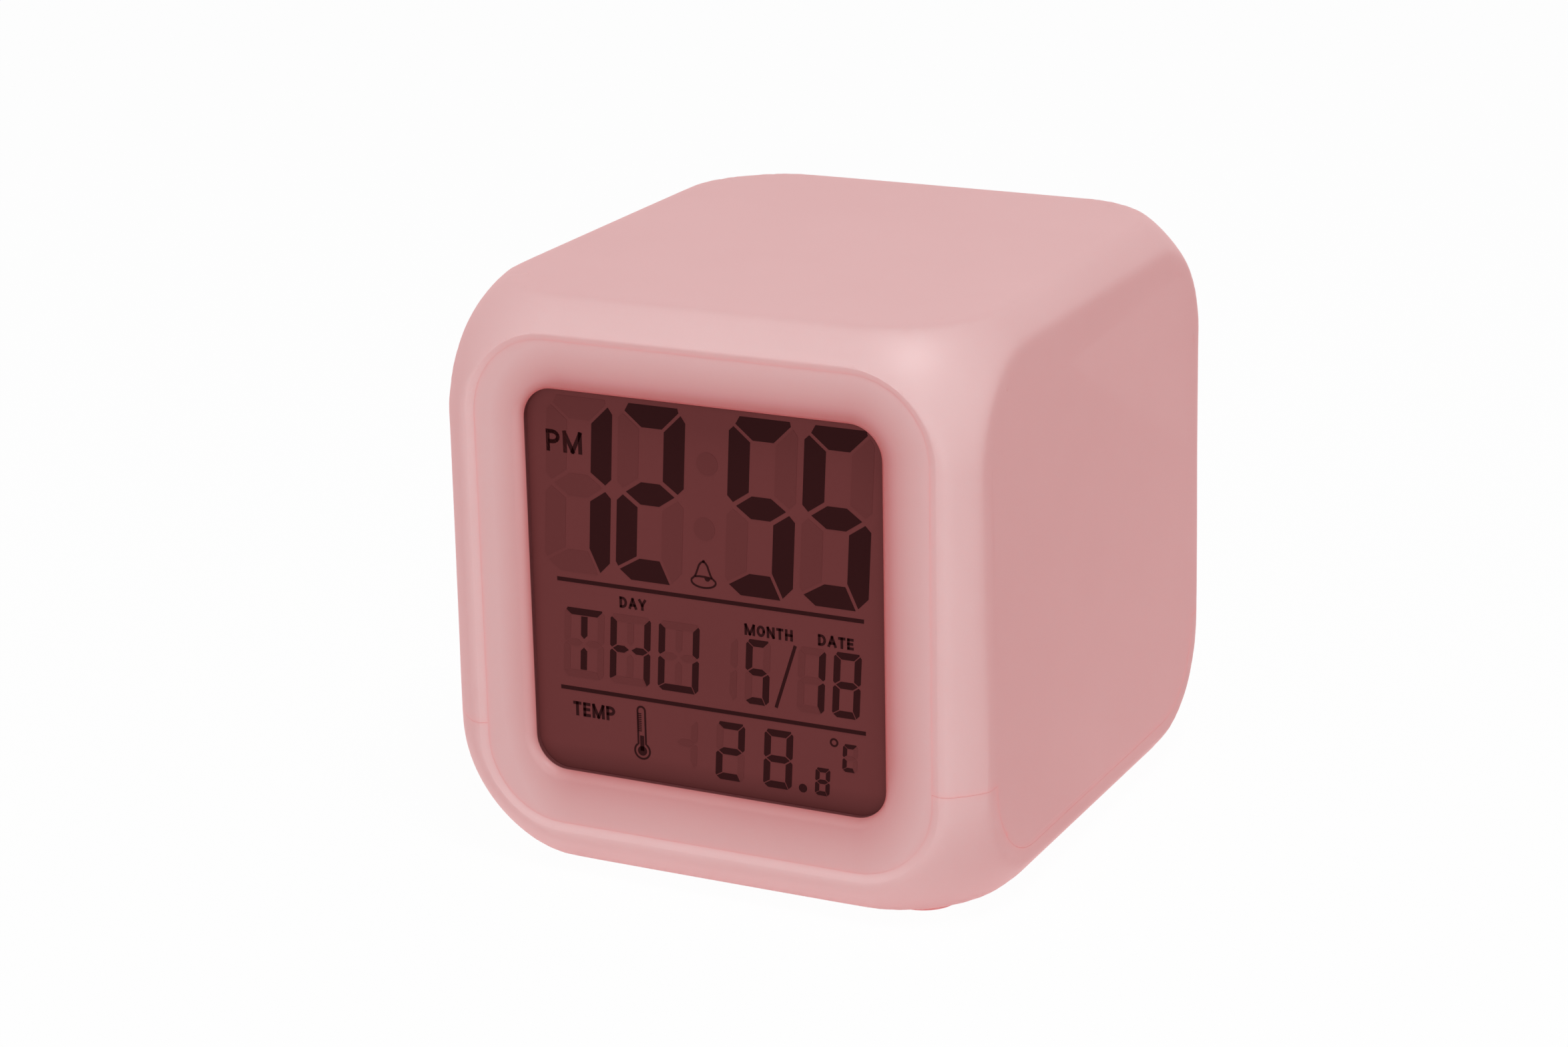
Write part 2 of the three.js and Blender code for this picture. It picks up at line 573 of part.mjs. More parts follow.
// Small screw, its head's underside at the origin and its shank along -y
function smallScrew() {
  const profile = [
    [0, -SCREW_LENGTH],
    [SCREW_RADIUS, -SCREW_LENGTH],
    [SCREW_RADIUS, 0],
    [SCREW_HEAD_RADIUS, 0],
    [SCREW_HEAD_RADIUS, SCREW_HEAD_HEIGHT],
    [0, SCREW_HEAD_HEIGHT],
  ];
  return turned(profile, SMALL_SIDES);
}

// Main board, with what it carries on its back
{
  const half = BOARD_BOSS_X + BOARD_EDGE;
  const outline = rectangle(-half, half, GLASS_BOTTOM - BOARD_OVERHANG, GLASS_TOP + BOARD_OVERHANG);
  let board = alongY(outline, BOARD_FRONT_Y, BOARD_BACK_Y);
  CORNERS.forEach(([x, z], index) => {
    const screwX = x * BOARD_BOSS_X;
    const screwZ = GLASS_Z + z * BOSS_SPACING / 2;
    board = cut(board, screwHoleY(BOARD_FRONT_Y - REACH, BOARD_BACK_Y + REACH, screwX, screwZ));
    const screw = geometryOf(solidOf(smallScrew()));
    place(`board_screw_${index + 1}`, screw, STEEL, [screwX, BOARD_PARTS_Y, screwZ]);
  });
  place('main_board', geometryOf(board), CIRCUIT_BOARD);

  const dome = new THREE.EllipseCurve(0, 0, CHIP_RADIUS, CHIP_HEIGHT, 0, Math.PI / 2);
  const domeProfile = [[0, 0], ...dome.getPoints(CORNER_STEPS).map((point) => [point.x, point.y])];
  const chip = geometryOf(solidOf(turned(domeProfile, ROUND_SIDES)));
  place('chip_cover', chip, EPOXY, [0, BOARD_PARTS_Y, GLASS_Z + CHIP_Z]);

  const tipStart = LIGHT_LENGTH - LIGHT_RADIUS;
  const tip = new THREE.EllipseCurve(0, tipStart, LIGHT_RADIUS, LIGHT_RADIUS, 0, Math.PI / 2);
  const lightProfile = [
    [0, 0],
    [LIGHT_RIM, 0],
    [LIGHT_RIM, LIGHT_RIM_HEIGHT],
    [LIGHT_RADIUS, LIGHT_RIM_HEIGHT],
    ...tip.getPoints(CORNER_STEPS).map((point) => [point.x, point.y]),
  ];
  for (const x of SIDES) {
    const light = geometryOf(solidOf(turned(lightProfile, SMALL_SIDES)));
    const name = x < 0 ? 'colour_light_left' : 'colour_light_right';
    place(name, light, MILKY_PLASTIC, [x * LIGHT_SPACING / 2, BOARD_PARTS_Y, GLASS_Z + LIGHT_Z]);
  }

  const can = rodY(BUZZER_RADIUS, 0, BUZZER_HEIGHT, 0, 0);
  const holeEnd = BUZZER_HEIGHT - BUZZER_HOLE_DEPTH;
  const buzzer = cut(can, rodY(BUZZER_HOLE, holeEnd, BUZZER_HEIGHT + REACH, 0, 0, SMALL_SIDES));
  place('buzzer', geometryOf(buzzer), DARK_PLASTIC, [BUZZER_X, BOARD_PARTS_Y, GLASS_Z + BUZZER_Z]);

  const crystalHalf = CRYSTAL_LENGTH / 2;
  const crystal = rodZ(CRYSTAL_RADIUS, -crystalHalf, crystalHalf, 0, CRYSTAL_RADIUS, SMALL_SIDES);
  place('crystal', geometryOf(crystal), NICKEL, [CRYSTAL_X, BOARD_PARTS_Y, GLASS_Z + CRYSTAL_Z]);
  const sensor = rodY(SENSOR_RADIUS, 0, SENSOR_LENGTH, 0, 0, SMALL_SIDES);
  place('temperature_sensor', geometryOf(sensor), EPOXY, [SENSOR_X, BOARD_PARTS_Y, GLASS_Z + SENSOR_Z]);
}

const KEY_PLACES = KEY_NAMES.map((name, index) => {
  return { name, x: KEY_ROW_LEFT + index * KEY_PITCH + (KEY_PITCH - KEY_GAP) / 2 };
});
const HOOK_PLACES = SIDES.map((side) => side * HOOK_SPACING / 2);
const KEY_BOSS_PLACES = SIDES.map((side) => side * KEY_BOSS_SPACING / 2);

// Rear panel: battery box, door opening, holes for the keys and the slide, bosses for the key board
{
  const rim = rectangle(
    -PANEL_HALF + REAR_RIM,
    PANEL_HALF - REAR_RIM,
    PANEL_BOTTOM + REAR_RIM,
    PANEL_TOP - REAR_RIM,
    PANEL_CORNER - REAR_RIM,
  );
  const hollow = alongY(rim, REAR_INNER_Y, inward(PANEL_BACK_DEPTH + REACH));
  const boxHalf = BAY_HALF + BAY_WALL;
  const boxOutline = rectangle(-boxHalf, boxHalf, BAY_BOTTOM - BAY_WALL, BAY_TOP + BAY_WALL);
  const bayOutline = rectangle(-BAY_HALF, BAY_HALF, BAY_BOTTOM, BAY_TOP);
  const doorOutline = rectangle(
    -DOOR_HALF - FIT,
    DOOR_HALF + FIT,
    DOOR_BOTTOM - FIT,
    DOOR_TOP + FIT,
    DOOR_CORNER + FIT,
  );
  let panel = cut(panelBlank(1), hollow);
  panel = join(panel, alongY(boxOutline, BOX_BACK_Y, REAR_INNER_Y + ROOT));
  panel = cut(panel, alongY(bayOutline, BAY_FLOOR_Y, REAR_FACE_Y + REACH));
  panel = cut(panel, alongY(doorOutline, REAR_INNER_Y, REAR_FACE_Y + REACH));
  panel = cut(panel, rodY(THUMB_RADIUS, REAR_FACE_Y - THUMB_DEPTH, REAR_FACE_Y + REACH, 0, DOOR_TOP));
  for (const x of HOOK_PLACES) {
    const width = HOOK_WIDTH + 2 * FIT;
    const height = BAY_WALL + 2 * REACH;
    const slot = centred(width, height, 0, x, BAY_BOTTOM - BAY_WALL / 2);
    const slotFront = KEY_FLANGE_Y - HOOK_DEPTH - HOOK_SWING;
    panel = cut(panel, alongY(slot, slotFront, REAR_INNER_Y));
  }
  for (const { x } of KEY_PLACES) {
    const hole = centred(KEY_WIDTH + 2 * FIT, KEY_HEIGHT + 2 * FIT, KEY_CORNER + FIT, x, KEY_Z);
    panel = cut(panel, alongY(hole, REAR_INNER_Y - REACH, REAR_FACE_Y + REACH));
  }
  const slotWidth = SLIDE_WIDTH + SLIDE_TRAVEL + 2 * FIT;
  const slideSlot = centred(slotWidth, SLIDE_HEIGHT + 2 * FIT, SLIDE_CORNER + FIT, SLIDE_X, KEY_Z);
  panel = cut(panel, alongY(slideSlot, REAR_INNER_Y - REACH, REAR_FACE_Y + REACH));
  for (const x of KEY_BOSS_PLACES) {
    const z = KEY_Z - KEY_BOSS_DROP;
    const end = KEY_BOARD_BACK_Y + FIT;
    const boss = rodY(BOSS_RADIUS, end, REAR_INNER_Y + ROOT, x, z, SMALL_SIDES);
    panel = cut(join(panel, boss), screwHoleY(end - REACH, end + PILOT_DEPTH, x, z));
  }
  place('rear_panel', geometryOf(panel), PANEL_PLASTIC);
}

// Battery door: a plate with two hooks below, and grip ribs near its upper edge
{
  const outline = rectangle(-DOOR_HALF, DOOR_HALF, DOOR_BOTTOM, DOOR_TOP, DOOR_CORNER);
  let door = alongY(outline, DOOR_INNER_Y, REAR_FACE_Y);
  for (const x of HOOK_PLACES) {
    const left = x - HOOK_WIDTH / 2;
    const right = x + HOOK_WIDTH / 2;
    const neckBottom = DOOR_BOTTOM + DOOR_LEDGE + FIT;
    const neck = rectangle(left, right, neckBottom, neckBottom + HOOK_RISE);
    const hook = rectangle(left, right, DOOR_BOTTOM - HOOK_DROP, neckBottom + HOOK_RISE);
    door = join(door, alongY(neck, KEY_FLANGE_Y - HOOK_DEPTH, DOOR_INNER_Y + ROOT));
    door = join(door, alongY(hook, KEY_FLANGE_Y - HOOK_DEPTH, KEY_FLANGE_Y));
  }
  for (let i = 0; i < GRIP_COUNT; i += 1) {
    const rib = centred(GRIP_WIDTH, GRIP_HEIGHT, 0, 0, DOOR_TOP - GRIP_FROM_TOP - i * GRIP_PITCH);
    door = join(door, alongY(rib, REAR_FACE_Y - ROOT, REAR_FACE_Y + GRIP_PROUD));
  }
  place('battery_door', geometryOf(door), PANEL_PLASTIC);
}

// Keys, each a cap, a flange behind the panel and a stem, with its switch behind it
function pushSwitch() {
  const body = alongY(centred(SWITCH_SIDE, SWITCH_SIDE, 0), 0, SWITCH_DEPTH);
  const tip = SWITCH_DEPTH + PLUNGER_LENGTH;
  return join(body, rodY(PLUNGER_RADIUS, SWITCH_DEPTH - ROOT, tip, 0, 0, SMALL_SIDES));
}

KEY_PLACES.forEach(({ name, x }, index) => {
  const cap = alongY(centred(KEY_WIDTH, KEY_HEIGHT, KEY_CORNER), KEY_STEM_Y, REAR_FACE_Y + KEY_PROUD);
  const flangeOutline = centred(KEY_WIDTH + 2 * KEY_FLANGE, KEY_HEIGHT + 2 * KEY_FLANGE, KEY_CORNER);
  const flange = alongY(flangeOutline, KEY_STEM_Y, KEY_FLANGE_Y);
  const stem = rodY(KEY_STEM_RADIUS, KEY_TIP_Y, KEY_STEM_Y + ROOT, 0, 0, SMALL_SIDES);
  place(`${name}_button`, geometryOf(join(cap, flange, stem)), MILKY_PLASTIC, [x, 0, KEY_Z]);
  place(`key_switch_${index + 1}`, geometryOf(pushSwitch()), DARK_PLASTIC, [x, KEY_SWITCH_Y, KEY_Z]);
});

// Light switch: the knob rests at the left end of its slot
{
  const knobX = SLIDE_X - SLIDE_TRAVEL / 2;
  const capOutline = centred(SLIDE_WIDTH, SLIDE_HEIGHT, SLIDE_CORNER);
  const cap = alongY(capOutline, KEY_STEM_Y, REAR_FACE_Y + SLIDE_PROUD);
  const flangeWidth = SLIDE_WIDTH + 2 * SLIDE_FLANGE;
  const flangeHeight = SLIDE_HEIGHT + 2 * SLIDE_FLANGE_ENDS;
  const flange = alongY(centred(flangeWidth, flangeHeight, SLIDE_CORNER), KEY_STEM_Y, KEY_FLANGE_Y);
  const bodyTop = KEY_SWITCH_Y + SLIDE_BODY_DEPTH;
  const stem = alongY(centred(SLIDE_STEM_WIDTH, SLIDE_STEM_HEIGHT, 0), bodyTop + FIT, KEY_STEM_Y + ROOT);
  place('light_switch_knob', geometryOf(join(cap, flange, stem)), DARK_PLASTIC, [knobX, 0, KEY_Z]);
  const body = alongY(centred(SLIDE_BODY_WIDTH, SLIDE_BODY_HEIGHT, 0), KEY_SWITCH_Y, bodyTop);
  place('light_switch_body', geometryOf(body), STEEL, [SLIDE_X, 0, KEY_Z]);
}

// Key board behind the keys, screwed to the rear panel
{
  const half = KEY_BOARD_WIDTH / 2;
  const outline = rectangle(-half, half, KEY_BOARD_BOTTOM, KEY_Z + KEY_BOARD_ABOVE);
  let board = alongY(outline, KEY_BOARD_FRONT_Y, KEY_BOARD_BACK_Y);
  KEY_BOSS_PLACES.forEach((x, index) => {
    const z = KEY_Z - KEY_BOSS_DROP;
    board = cut(board, screwHoleY(KEY_BOARD_FRONT_Y - REACH, KEY_BOARD_BACK_Y + REACH, x, z));
    const screw = geometryOf(solidOf(smallScrew().rotateX(Math.PI)));
    place(`key_board_screw_${index + 1}`, screw, STEEL, [x, KEY_BOARD_FRONT_Y - FIT, z]);
  });
  place('key_board', geometryOf(board), CIRCUIT_BOARD);
}

// Battery cells, side by side with their nubs to left and right by turns
const CELL_PLACES = Array.from({ length: CELL_COUNT }, (_, index) => {
  return { side: index % 2 === 0 ? 1 : -1, z: BAY_BOTTOM + BAY_SLACK + CELL_PITCH * (index + 0.5) };
});
CELL_PLACES.forEach(({ side, z }, index) => {
  const half = CELL_LENGTH / 2;
  const profile = [
    [0, -half],
    [CELL_RADIUS, -half],
    [CELL_RADIUS, half - CELL_NUB_LENGTH],
    [CELL_NUB_RADIUS, half - CELL_NUB_LENGTH],
    [CELL_NUB_RADIUS, half],
    [0, half],
  ];
  const cell = geometryOf(solidOf(turned(profile, ROUND_SIDES).rotateZ(-side * Math.PI / 2)));
  place(`battery_cell_${index + 1}`, cell, CELL_JACKET, [0, CELL_Y, z]);
});

// Battery contacts: plates along the bay's end walls, with a bent leaf behind each flat cell end
function contactPlate(wall, cells) {
  const zs = cells.map((cell) => CELL_PLACES[cell].z);
  const low = Math.min(...zs) - CONTACT_WIDTH / 2;
  const high = Math.max(...zs) + CONTACT_WIDTH / 2;
  const outside = BAY_HALF - FIT;
  const plateOutline = rectangle(CELL_Y - CELL_RADIUS + FIT, CELL_Y + CELL_RADIUS - FIT, low, high);
  let contact = alongX(plateOutline, wall * (outside - CONTACT_PLATE), wall * outside);
  for (const cell of cells) {
    const { side, z } = CELL_PLACES[cell];
    const gap = CONTACT_ROOM - 2 * FIT - CONTACT_PLATE;
    if (side === wall) {
      const pad = centred(CONTACT_WIDTH / 2, CONTACT_WIDTH / 2, 0, CELL_Y, z);
      const start = outside - CONTACT_PLATE;
      contact = join(contact, alongX(pad, wall * (start - gap), wall * (start + CONTACT_PLATE / 2)));
      continue;
    }
    const leaf = new THREE.Shape();
    const plateX = outside - CONTACT_PLATE / 2;
    const tipX = outside - CONTACT_PLATE - gap;
    const bend = CELL_Y - CONTACT_WIDTH / 2;
    const end = CELL_Y + CONTACT_WIDTH / 2;
    leaf.moveTo(wall * plateX, bend);
    leaf.lineTo(wall * plateX, bend + LEAF_THICKNESS);
    leaf.lineTo(wall * (tipX + LEAF_THICKNESS), CELL_Y);
    leaf.lineTo(wall * (tipX + LEAF_THICKNESS * 2), end);
    leaf.lineTo(wall * (tipX + LEAF_THICKNESS), end);
    leaf.lineTo(wall * tipX, CELL_Y);
    contact = join(contact, alongZ(leaf, z - CONTACT_WIDTH / 2, z + CONTACT_WIDTH / 2));
  }
  return contact;
}

// On the left wall the first cell has a contact alone. On the right wall the cells go in pairs.
const CONTACTS = [];
for (const [wall, start] of [[-1, -1], [1, 0]]) {
  for (let first = start; first < CELL_COUNT; first += 2) {
    const cells = [first, first + 1].filter((cell) => cell >= 0 && cell < CELL_COUNT);
    CONTACTS.push({ wall, cells });
  }
}
CONTACTS.forEach(({ wall, cells }, index) => {
  place(`battery_contact_${index + 1}`, geometryOf(contactPlate(wall, cells)), NICKEL);
});

// Press plate under the base, with its switch and board above it
{
  const profile = [
    [0, PRESS_CLEARANCE],
    [PRESS_RADIUS, PRESS_CLEARANCE],
    [PRESS_RADIUS, PRESS_FLANGE_Z],
    [PRESS_RADIUS + PRESS_FLANGE, PRESS_FLANGE_Z],
    [PRESS_RADIUS + PRESS_FLANGE, PRESS_STEM_Z],
    [PRESS_STEM_RADIUS, PRESS_STEM_Z],
    [PRESS_STEM_RADIUS, PRESS_TIP_Z],
    [0, PRESS_TIP_Z],
  ];
  const plate = geometryOf(solidOf(turned(profile, ROUND_SIDES).rotateX(Math.PI / 2)));
  place('press_button', plate, MILKY_PLASTIC, [0, PRESS_Y, 0]);
  const switchPlace = [0, PRESS_Y, PRESS_SWITCH_TOP];
  const pressSwitch = place('press_switch', geometryOf(pushSwitch()), DARK_PLASTIC, switchPlace);
  pressSwitch.rotation.x = -Math.PI / 2;
  const boardHalf = PRESS_POST_X + BOSS_RADIUS;
  const outline = centred(2 * boardHalf, PRESS_BOARD_HEIGHT, 0, 0, PRESS_Y);
  let board = alongZ(outline, PRESS_BOARD_Z, PRESS_BOARD_TOP);
  SIDES.forEach((side, index) => {
    const x = side * PRESS_POST_X;
    board = cut(board, screwHoleZ(PRESS_BOARD_Z - REACH, PRESS_BOARD_TOP + REACH, x, PRESS_Y));
    const screw = place(`press_board_screw_${index + 1}`, geometryOf(solidOf(smallScrew())), STEEL);
    screw.position.set(x, PRESS_Y, PRESS_BOARD_TOP + FIT);
    screw.rotation.x = Math.PI / 2;
  });
  place('press_board', geometryOf(board), CIRCUIT_BOARD);
}

// Housing screws, up through the base into the posts, and the rubber feet
CORNERS.forEach(([x, y], index) => {
  const profile = [
    [0, -HOUSING_HEAD_HEIGHT],
    [HOUSING_HEAD_RADIUS, -HOUSING_HEAD_HEIGHT],
    [HOUSING_HEAD_RADIUS, 0],
    [HOUSING_SCREW_RADIUS, 0],
    [HOUSING_SCREW_RADIUS, HOUSING_SCREW_LENGTH],
    [0, HOUSING_SCREW_LENGTH],
  ];
  const screw = geometryOf(solidOf(turned(profile, SMALL_SIDES).rotateX(Math.PI / 2)));
  place(`housing_screw_${index + 1}`, screw, STEEL, [x * POST_X, y * POST_Y, SHOULDER_Z - FIT]);
  const footTop = BOTTOM_Z + FOOT_SOCKET - FIT;
  const footX = x * (BODY_WIDTH / 2 - FOOT_INSET_X);
  const footY = y * (BODY_DEPTH / 2 - FOOT_INSET_Y);
  place(`foot_${index + 1}`, geometryOf(rodZ(FOOT_RADIUS, 0, footTop, footX, footY)), RUBBER);
});

// Leads from the battery box, the press board and the key board to the main board
function lead(points) {
  const route = new THREE.CatmullRomCurve3(points.map((point) => new THREE.Vector3(...point)));
  const section = new THREE.Shape();
  section.absarc(0, 0, LEAD_RADIUS, 0, Math.PI * 2);
  const tube = new THREE.ExtrudeGeometry(section, {
    steps: LEAD_STEPS,
    extrudePath: route,
    curveSegments: LEAD_SIDES,
    bevelEnabled: false,
  });
  return geometryOf(solidOf(tube));
}

{
  const boardEnd = BOARD_BACK_Y + FIT;
  const boxEnd = BOX_BACK_Y - FIT;
  const middle = (boardEnd + boxEnd) / 2;
  const height = GLASS_Z - LEAD_SAG;
  const batteryLeads = [
    ['battery_lead_red', RED_LEAD, RED_LEAD_X],
    ['battery_lead_black', BLACK_LEAD, BLACK_LEAD_X],
  ];
  for (const [name, material, x] of batteryLeads) {
    const points = [
      [x, boxEnd, height],
      [x, boxEnd - LEAD_SAG, height],
      [x, middle, height - LEAD_SAG],
      [x, boardEnd + LEAD_SAG, height],
      [x, boardEnd, height],
    ];
    place(name, lead(points), material);
  }
  const pressStart = PRESS_BOARD_TOP + FIT;
  const pressLead = [
    [PRESS_STEM_RADIUS, PRESS_Y, pressStart],
    [PRESS_STEM_RADIUS, PRESS_Y, pressStart + LEAD_SAG / 2],
    [PRESS_STEM_RADIUS, PRESS_Y - LEAD_SAG, pressStart + LEAD_SAG],
    [PRESS_STEM_RADIUS, boardEnd + LEAD_SAG, pressStart + LEAD_SAG],
    [PRESS_STEM_RADIUS, boardEnd, pressStart + LEAD_SAG],
  ];
  place('press_lead', lead(pressLead), BLACK_LEAD);

  const ribbonBack = KEY_BOARD_FRONT_Y - FIT;
  const span = ribbonBack - boardEnd;
  const strip = new THREE.Shape();
  const heightAt = (t) => KEY_Z - RIBBON_SAG * 4 * t * (1 - t);
  for (let i = 0; i <= RIBBON_STEPS; i += 1) {
    const t = i / RIBBON_STEPS;
    const y = boardEnd + span * t;
    if (i === 0) strip.moveTo(y, heightAt(t));
    else strip.lineTo(y, heightAt(t));
  }
  for (let i = RIBBON_STEPS; i >= 0; i -= 1) {
    const t = i / RIBBON_STEPS;
    strip.lineTo(boardEnd + span * t, heightAt(t) + RIBBON_THICKNESS);
  }
  place('key_ribbon', geometryOf(alongX(strip, -RIBBON_WIDTH / 2, RIBBON_WIDTH / 2)), RIBBON);
}

export default clock;
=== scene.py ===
# %% [markdown]
# # A glowing cube alarm clock
# The clock is a rounded cube of milky plastic with coloured lamps inside, so the whole housing glows
# pink. The CAD model comes in as a fixed frame. This lesson dresses it: finer pieces with eased edges
# stand for the moulded parts, and every part gets a finish built from shader nodes.

# %% Load the CAD frame and keep its size
import math

import bmesh
import bpy
from mathutils import Matrix, Vector


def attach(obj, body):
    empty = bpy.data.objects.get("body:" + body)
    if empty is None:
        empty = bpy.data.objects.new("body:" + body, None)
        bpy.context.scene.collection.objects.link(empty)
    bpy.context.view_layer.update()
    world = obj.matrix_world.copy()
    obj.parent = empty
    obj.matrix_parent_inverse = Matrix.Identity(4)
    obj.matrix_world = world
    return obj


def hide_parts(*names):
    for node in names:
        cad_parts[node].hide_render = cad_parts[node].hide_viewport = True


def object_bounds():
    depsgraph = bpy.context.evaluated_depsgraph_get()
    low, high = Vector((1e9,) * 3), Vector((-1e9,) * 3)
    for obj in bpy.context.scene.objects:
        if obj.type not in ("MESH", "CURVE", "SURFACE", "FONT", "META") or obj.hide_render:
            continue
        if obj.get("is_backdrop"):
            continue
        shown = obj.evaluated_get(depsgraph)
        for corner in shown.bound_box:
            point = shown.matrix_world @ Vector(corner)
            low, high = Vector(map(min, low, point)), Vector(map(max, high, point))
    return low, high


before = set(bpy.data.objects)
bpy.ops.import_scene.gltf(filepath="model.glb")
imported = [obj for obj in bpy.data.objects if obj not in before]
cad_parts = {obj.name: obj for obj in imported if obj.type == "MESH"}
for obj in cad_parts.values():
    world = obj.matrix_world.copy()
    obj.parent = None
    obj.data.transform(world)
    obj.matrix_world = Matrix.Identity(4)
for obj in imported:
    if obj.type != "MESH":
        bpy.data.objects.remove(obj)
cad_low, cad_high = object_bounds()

print("CAD box, mm:", [round(1000 * (high - low), 2) for low, high in zip(cad_low, cad_high)])

# %% [markdown]
# ## Camera
# The clock was photographed with a long lens from the front right, a little above it. The camera is
# built from its azimuth, elevation and roll, so that each of these can be changed alone. A Track To
# constraint would also aim it, but it can't give the small roll.

# %% Camera at the photograph's viewing angle
CAMERA_PLACE = Vector((0.21264, -0.44467, 0.1986))
CAMERA_AZIMUTH = math.radians(26.445)
CAMERA_ELEVATION = math.radians(17.825)
CAMERA_ROLL = math.radians(-1.165)
CAMERA_LENS = 85.21
SENSOR_WIDTH = 36.0

back = Vector((
    math.sin(CAMERA_AZIMUTH) * math.cos(CAMERA_ELEVATION),
    -math.cos(CAMERA_AZIMUTH) * math.cos(CAMERA_ELEVATION),
    math.sin(CAMERA_ELEVATION),
))
level = Vector((math.cos(CAMERA_AZIMUTH), math.sin(CAMERA_AZIMUTH), 0.0))
upright = back.cross(level)
right = level * math.cos(CAMERA_ROLL) + upright * math.sin(CAMERA_ROLL)
upward = back.cross(right)

lens = bpy.data.cameras.new("camera")
lens.lens = CAMERA_LENS
lens.sensor_fit = "HORIZONTAL"
lens.sensor_width = SENSOR_WIDTH
camera = bpy.data.objects.new("camera", lens)
turn = Matrix((right, upward, back)).transposed().to_4x4()
camera.matrix_world = Matrix.Translation(CAMERA_PLACE) @ turn
bpy.context.scene.collection.objects.link(camera)
bpy.context.scene.camera = camera
print("camera", lens.lens, "mm at", [round(value, 3) for value in CAMERA_PLACE])

# %% [markdown]
# ## Nodes and colours
# Every finish below is a small node tree. One function adds a node, sets its values and links its
# inputs. Colours are written as sRGB hex, the way a colour picker shows them, and turned to linear
# light once.

# %% Helpers for materials
MM = 0.001


def linear(code):
    """An sRGB hex colour as linear RGBA."""
    channels = [int(code[start:start + 2], 16) / 255 for start in (1, 3, 5)]
    light = [c / 12.92 if c <= 0.04045 else ((c + 0.055) / 1.055) ** 2.4 for c in channels]
    return (*light, 1.0)


def add_node(tree, kind, sockets=None, stops=(), **settings):
    """Add a node. Sockets take a value, or another node's output to link. Stops fill a colour ramp."""
    node = tree.nodes.new(kind)
    for name, value in settings.items():
        setattr(node, name, value)
    for key, value in (sockets or {}).items():
        if isinstance(value, bpy.types.NodeSocket):
            tree.links.new(value, node.inputs[key])
        else:
            node.inputs[key].default_value = value
    for index, (position, colour) in enumerate(stops):
        ramp = node.color_ramp.elements
        stop = ramp[index] if index < 2 else ramp.new(position)
        stop.position = position
        stop.color = colour
    return node


def per_metre(millimetres):
    """The scale of a texture whose features are this many millimetres wide."""
    return 1.0 / (millimetres * MM)


def blank_material(name):
    """A material with an empty node tree, and its tree."""
    material = bpy.data.materials.new(name)
    material.use_nodes = True
    material.node_tree.nodes.clear()
    return material, material.node_tree


FACTOR, FIRST, SECOND, MIXED = 0, 6, 7, 2  # sockets of a Mix node that mixes colours
print("colour test:", [round(value, 3) for value in linear("#808080")])

# %% [markdown]
# ## Stage and light
# The photograph is an even product shot on white. A pale floor catches a faint shadow, the world
# gives soft light from everywhere. A key lamp above puts the soft highlight on the front corner, and
# two large lamps fill.

# %% Floor
FLOOR_HALF = 3.0
FLOOR_PAINT = "#eaeaea"
FLOOR_WHITE = 0.975  # how much of the floor is plain white to the camera, the rest keeps the shadow


def seen_directly(tree):
    """One for rays that show a thing to the eye, zero for rays that light other things."""
    ray = add_node(tree, "ShaderNodeLightPath").outputs
    seen = 0.0
    for kind in ("Is Camera Ray", "Is Glossy Ray", "Is Transmission Ray"):
        seen = add_node(tree, "ShaderNodeMath", {0: ray[kind], 1: seen}, operation="MAXIMUM").outputs[0]
    return seen


# Pale matt paint for the light, plain white for the eye.
floor_finish, tree = blank_material("matt_white_floor")
share = add_node(tree, "ShaderNodeMath", {0: seen_directly(tree), 1: FLOOR_WHITE}, operation="MULTIPLY")
paint = add_node(tree, "ShaderNodeBsdfDiffuse", {"Color": linear(FLOOR_PAINT)})
white = add_node(tree, "ShaderNodeEmission", {"Color": linear("#ffffff"), "Strength": 1.0})
mixture = {0: share.outputs[0], 1: paint.outputs[0], 2: white.outputs[0]}
both = add_node(tree, "ShaderNodeMixShader", mixture)
add_node(tree, "ShaderNodeOutputMaterial", {"Surface": both.outputs[0]})

bm = bmesh.new()
bmesh.ops.create_grid(bm, x_segments=2, y_segments=2, size=FLOOR_HALF)
floor_mesh = bpy.data.meshes.new("floor")
bm.to_mesh(floor_mesh)
bm.free()
floor_mesh.materials.append(floor_finish)
floor = bpy.data.objects.new("floor", floor_mesh)
bpy.context.scene.collection.objects.link(floor)
floor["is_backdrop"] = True
print("floor, m:", [round(value, 2) for value in floor.dimensions])

# %% World and lamps
WORLD_LEVEL = 0.22  # soft light from everywhere
LAMPS = (
    # name, place in metres, width in metres, watts
    ("key_softbox", (0.25, -0.25, 0.76), 0.25, 3.3),
    ("front_softbox", (-0.15, -0.78, 0.28), 0.60, 1.5),
    ("low_right_softbox", (0.45, -0.75, 0.10), 0.40, 1.65),
)

world = bpy.data.worlds.new("studio")
world.use_nodes = True
tree = world.node_tree
tree.nodes.clear()
levels = {0: seen_directly(tree), 1: 1.0 - WORLD_LEVEL, 2: WORLD_LEVEL}
strength = add_node(tree, "ShaderNodeMath", levels, operation="MULTIPLY_ADD").outputs[0]
sky = add_node(tree, "ShaderNodeBackground", {"Color": linear("#ffffff"), "Strength": strength})
add_node(tree, "ShaderNodeOutputWorld", {"Surface": sky.outputs[0]})
bpy.context.scene.world = world
bpy.context.scene.view_settings.view_transform = "Standard"

